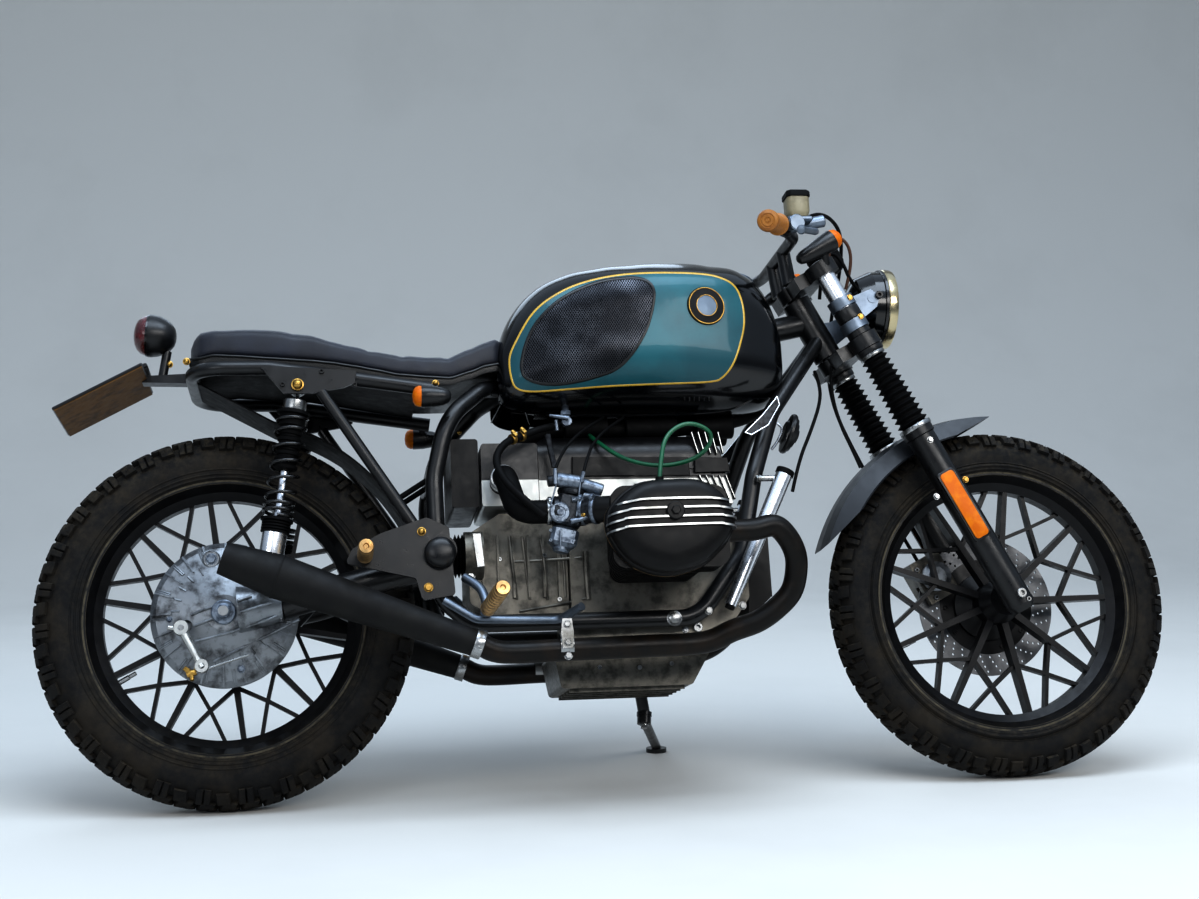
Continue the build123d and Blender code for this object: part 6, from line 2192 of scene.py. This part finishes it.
    def lamp(self) -> None:
        """Headlamp rim and reflector, and the front indicators."""
        shop = self.shop
        base, axis = in_fork(39, 0, 621), Vector((1, 0, -0.05))
        ring, mirror, seal = Pile(), Pile(), Pile()
        ring.lathe([(69, 69), (74.6, 67), (76.2, 69), (76.2, 80), (74.5, 84.5), (70, 86.5), (66, 85),
                    (66, 80)], base, axis,
                   96, True)
        mirror.lathe([(65.5, 74.6), (40, 74.4), (0, 74.3)], base, axis, 64)
        seal.lathe([(72.2, 61), (75, 62), (75, 67), (72.2, 67.6)], base, axis, 96, True)
        shop.put("headlamp_rim", ring, BRASS_CHROME, body="steering")
        shop.put("headlamp_mirror", mirror, CHROME, body="steering")
        shop.put("headlamp_seal", seal, SPRING_BLACK, body="steering")
        shop.paint(TANK_BLACK, "headlamp")
        shop.paint(LAMP_GLASS, "headlamp_glass")
        bodies, ends = Pile(), Pile()
        for side in (-1, 1):
            start, end = in_fork(-46, side * 128, 721), in_fork(52, side * 128, 727)
            way = end - start
            long = way.length
            bodies.lathe([(0, 0), (5, 1), (9, 4), (12, 12), (15, 34), (18.5, 60), (20, 78),
                          (19.4, 80), (17.5, 80)],
                         start, way, 40)
            ends.lathe([(18.2, 78), (18.6, 84), (16, 91), (9, long - 2), (0, long)], start, way, 40)
            stalk = [in_fork(4, side * 116, 690), in_fork(8, side * 122, 706), in_fork(12, side * 128, 722)]
            bodies.tube(smooth_line(stalk, 6), 7, 14)
        shop.put("front_indicator_bodies", bodies, FRAME_BLACK, ["front_indicators"], "steering")
        shop.put("front_indicator_lenses", ends, AMBER, body="steering", crease=SMOOTH)

    def bar(self) -> None:
        """Grips, brake pot, master cylinder, levers, the brake hose and the leads."""
        shop = self.shop
        gum, pot, lid, silver, black = Pile(), Pile(), Pile(), Pile(), Pile()
        for side in (-1, 1):
            bend, end = in_fork(-78, side * 220, 778), in_fork(-140, side * 335, 771)
            way = (end - bend).normalized()
            length = (end - bend).length
            outline = [(11.2, 12), (19, 12), (20, 14), (20, 18), (17, 20)]
            step = (length - 40) / self.grip_rings
            for n in range(self.grip_rings):
                low = 22 + (length - 40) * n / self.grip_rings
                outline += [(16.2, low), (17, low + 1), (17.2, low + step - 2), (16.2, low + step - 1)]
            outline += [(18.5, length - 16), (19.4, length - 12), (19.4, length - 6), (17.5, length - 1.5),
                        (13, length + 0.5), (12, length - 0.5), (10.5, length - 0.5), (9.5, length + 0.8),
                        (6, length + 0.6), (5, length - 0.6), (3.6, length - 0.6), (2.6, length + 0.8),
                        (0, length + 0.8)]
            gum.lathe(outline, bend, way, 40)
            root, knee, tip = (in_fork(-49, side * 205, 763), in_fork(-18, side * 212, 736),
                               in_fork(-93, side * 330, 731))
            path = smooth_line([root, knee + (root - knee) * 0.2, knee + (tip - knee) * 0.2,
                                (knee + tip) / 2, tip], 8)
            wide = [5.5 + 0.8 * math.sin(math.pi * n / (len(path) - 1)) for n in range(len(path))]
            silver.tube(path, wide, 12)
            silver.lathe([(0, 0), (7, 2), (8.5, 7), (7, 13), (0, 15)], tip - (tip - knee).normalized() * 7,
                         tip - knee, 20)
            black.lathe([(11.2, -10), (17, -10), (18, -8), (18, 8), (17, 10), (11.2, 10)],
                        in_fork(-62, side * 200, 774), bend - in_fork(-26, side * 120, 764), 32, True)
        a, b = in_fork(-52, -196, 771), in_fork(-50, -232, 765)
        silver.rod(a, b, 15, 32, 2)
        silver.rod(in_fork(-44, -193, 768), in_fork(10, -196, 752), 11, 28, 2)
        silver.box(in_fork(-40, -214, 770), (46, 34, 10), chamfer=3)
        middle = in_fork(-40, -214, 774)
        loop = [(-20, -14), (-14, -20), (14, -20), (20, -14), (20, 14), (14, 20), (-14, 20), (-20, 14)]
        rows = []
        for share, h in ((0.82, 0), (0.9, 4), (0.98, 10), (1.0, 38)):
            rows.append([middle + Vector((x * share, y * share, h)) for x, y in loop])
        pot.grid(rows, around=True)
        pot.cap(rows[0])
        pot.cap(rows[-1])
        rows = []
        for share, h in ((1.0, 36), (1.09, 37), (1.09, 45), (1.02, 47.8)):
            rows.append([middle + Vector((x * share, y * share, h)) for x, y in loop])
        lid.grid(rows, around=True)
        lid.cap(rows[-1])
        shop.put("gum_grips", gum, GUM, ["grips"], "steering")
        shop.put("brake_pot", pot, CREAM_PLASTIC, ["hand_controls"], "steering", 50)
        shop.put("brake_pot_lid", lid, SOFT_RUBBER, body="steering")
        shop.put("levers", silver, POLISHED, body="steering")
        shop.put("switch_clamps", black, FRAME_BLACK, body="steering")
        route = [(-44, -193, 768), (-12, -178, 776), (32, -146, 778), (68, -98, 766),
                 (92, -46, 746), (99, 10, 722), (90, 62, 688), (64, 100, 648), (34, 124, 602), (6, 135, 556),
                 (-20, 133, 506), (-40, 118, 450), (-52, 100, 384), (-60, 86, 312), (-64, 76, 236),
                 (-66, 70, 138)]
        shop.lead("brake_hose_line", [in_fork(*p) for p in route], 3.5, SOFT_RUBBER,
                  ["brake_hose"], "steering")
        for name, finish, radius, body, points in (
            ("lamp_lead_brown", BRAID_BROWN, 3.0, "steering",
             ((838, 300, 60), (830, 275, 72), (829, 250, 84), (838, 236, 90), (850, 246, 88), (852, 268, 74),
              (846, 290, 60))),
            ("lamp_lead_black", SOFT_RUBBER, 3.4, "steering",
             ((868, 300, 40), (852, 285, 66), (843, 262, 74), (832, 252, 66), (822, 268, 48),
              (820, 300, 30))),
            ("clutch_cable", SOFT_RUBBER, 3.2, "chassis",
             ((815, 372, 20), (820, 384, 34), (821, 402, 56), (812, 430, 78), (799, 462, 90),
              (793, 492, 92))),
            ("speed_cable", SOFT_RUBBER, 3.2, "steering",
             ((833, 350, 20), (831, 374, 22), (833, 400, 24), (842, 428, 28), (853, 450, 34),
              (861, 468, 38))),
        ):
            shop.lead(name, shop.spots(points), radius, finish, body=body)

    def gauge(self) -> None:
        """Single round gauge behind the lamp, on its bracket."""
        shop = self.shop
        base, axis = in_fork(57, 0, 686), Vector((-0.5, 0, 0.87))
        shell, glass = Pile(), Pile()
        shell.lathe([(0, 0), (14, 0.5), (20, 2), (27, 8), (31, 16), (31.6, 22), (30.6, 24), (31.6, 26),
                     (32, 40), (32.6, 44), (32, 48), (29, 49), (28, 46.5)], base, axis, 56)
        shell.rod(in_fork(8, 0, 692), in_fork(62, 0, 702), 7)
        glass.lathe([(28.4, 46.6), (20, 47.2), (0, 47.4)], base, axis, 48)
        shop.put("gauge_shell", shell, SOFT_RUBBER, ["gauge"], "steering")
        shop.put("gauge_glass", glass, TANK_BLACK, body="steering")

    def build(self) -> None:
        """Build it all."""
        shop = self.shop
        shop.paint(FRAME_BLACK, "fork_yokes", "fork_legs", "handlebar")
        shop.paint(CHROME, "fork_tubes")
        shop.paint(POLISHED, "lamp_ears")
        shop.paint(FENDER_SMOKE, "front_fender")
        self.gaiters()
        self.legs()
        self.lamp()
        self.bar()
        self.gauge()


@dataclass
class Studio:
    """Pale seamless floor, soft lights and the photograph's camera."""

    shop: Workshop
    sensor_mm: float = 36.0
    floor_near: float = -9.0
    floor_bends_at: float = 3.2
    bend_radius: float = 2.8
    floor_top: float = 8.0
    floor_side: float = 12.0
    bend_steps: int = 32

    def build(self) -> None:
        """Build it all."""
        self.floor()
        self.lights()
        self.camera()

    def floor(self) -> None:
        """Floor that curves up into the background."""
        bend, start = self.bend_radius, self.floor_bends_at
        line = [(self.floor_near + (start - self.floor_near) * k / 12, 0.0) for k in range(12)]
        for k in range(self.bend_steps + 1):
            turn = math.radians(90 * k / self.bend_steps)
            line.append((start + bend * math.sin(turn), bend * (1 - math.cos(turn))))
        line.append((start + bend, self.floor_top))
        pile = Pile()
        pile.grid([[(2 * column - self.floor_side, y, z) for y, z in line] for column in range(13)])
        mesh = bpy.data.meshes.new("studio_floor")
        mesh.from_pydata([tuple(p) for p in pile.points], [], pile.faces)
        for face in mesh.polygons:
            face.use_smooth = True
        mesh.materials.append(FLOOR.material())
        thing = bpy.data.objects.new("studio_floor", mesh)
        bpy.context.scene.collection.objects.link(thing)
        thing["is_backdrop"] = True

    def lights(self) -> None:
        """Skylight from above, darker round the horizon, a long window, a low fill and a faint back light."""
        world = bpy.data.worlds.new("studio")
        world.use_nodes = True
        tree = world.node_tree
        back = tree.nodes["Background"]
        back.inputs[0].default_value = (0.7, 0.83, 1.0, 1.0)
        height = add_node(tree, "SeparateXYZ",
                          Vector=add_node(tree, "TexCoord").outputs["Generated"]).outputs["Z"]
        glow = add_node(tree, "MapRange", i0=height, i1=0.05, i2=0.75, i3=0.16, i4=0.85).outputs[0]
        tree.links.new(glow, back.inputs[1])
        bpy.context.scene.world = world
        for name, place, target, size, power, tint in (
            ("sky", (0.2, -1.1, 3.7), (0, 0, 0.4), (3.6, 1.8), 112, (0.74, 0.86, 1.0)),
            ("window", (1.5, -3.6, 2.5), (0.2, 0, 0.5), (3.4, 1.0), 74, (1.0, 0.98, 0.95)),
            ("fill", (-2.6, -3.6, 1.9), (0, 0, 0.4), (2.2, 1.0), 26, (0.95, 0.97, 1.0)),
            ("back", (-0.6, 2.8, 2.6), (0, 0, 0.6), (3.0, 1.2), 22, (0.7, 0.84, 1.0)),
        ):
            data = bpy.data.lights.new(name, "AREA")
            data.shape = "RECTANGLE"
            data.size, data.size_y = size
            data.energy = power
            data.color = tint
            lamp = bpy.data.objects.new(name, data)
            lamp.location = place
            lamp.rotation_euler = (Vector(target) - Vector(place)).to_track_quat("-Z", "Y").to_euler()
            bpy.context.scene.collection.objects.link(lamp)
        view = bpy.context.scene.view_settings
        view.view_transform = "Standard"
        view.look = "None"
        view.gamma = 0.8
        view.exposure = 0.25

    def camera(self) -> None:
        """Camera where the photograph was taken from."""
        shop = self.shop
        data = bpy.data.cameras.new("photograph")
        data.sensor_width = self.sensor_mm
        data.sensor_fit = "HORIZONTAL"
        data.lens = shop.lens_px / shop.picture_width * self.sensor_mm
        thing = bpy.data.objects.new("photograph", data)
        turn = Matrix((shop.right, shop.up, -shop.forward)).transposed()
        thing.matrix_world = Matrix.Translation(shop.camera_at) @ turn.to_4x4()
        bpy.context.scene.collection.objects.link(thing)
        bpy.context.scene.camera = thing


def main() -> None:
    logging.basicConfig(level=logging.INFO, format="%(message)s")
    shop = Workshop()
    sections = [
        Studio(shop), Tyre(shop, "rear_tyre", 0.0, shop.rear_axle_z, 326.0, 57.0),
        Tyre(shop, "front_tyre", shop.wheelbase, shop.front_axle_z, 319.0, 52.0), Wheels(shop), Chassis(shop),
        Engine(shop), RearEnd(shop), Tank(shop), Saddle(shop), FrontEnd(shop),
    ]
    for section in sections:
        section.build()
        LOG.info("built %s", type(section).__name__)


if __name__ == "__main__":
    main()
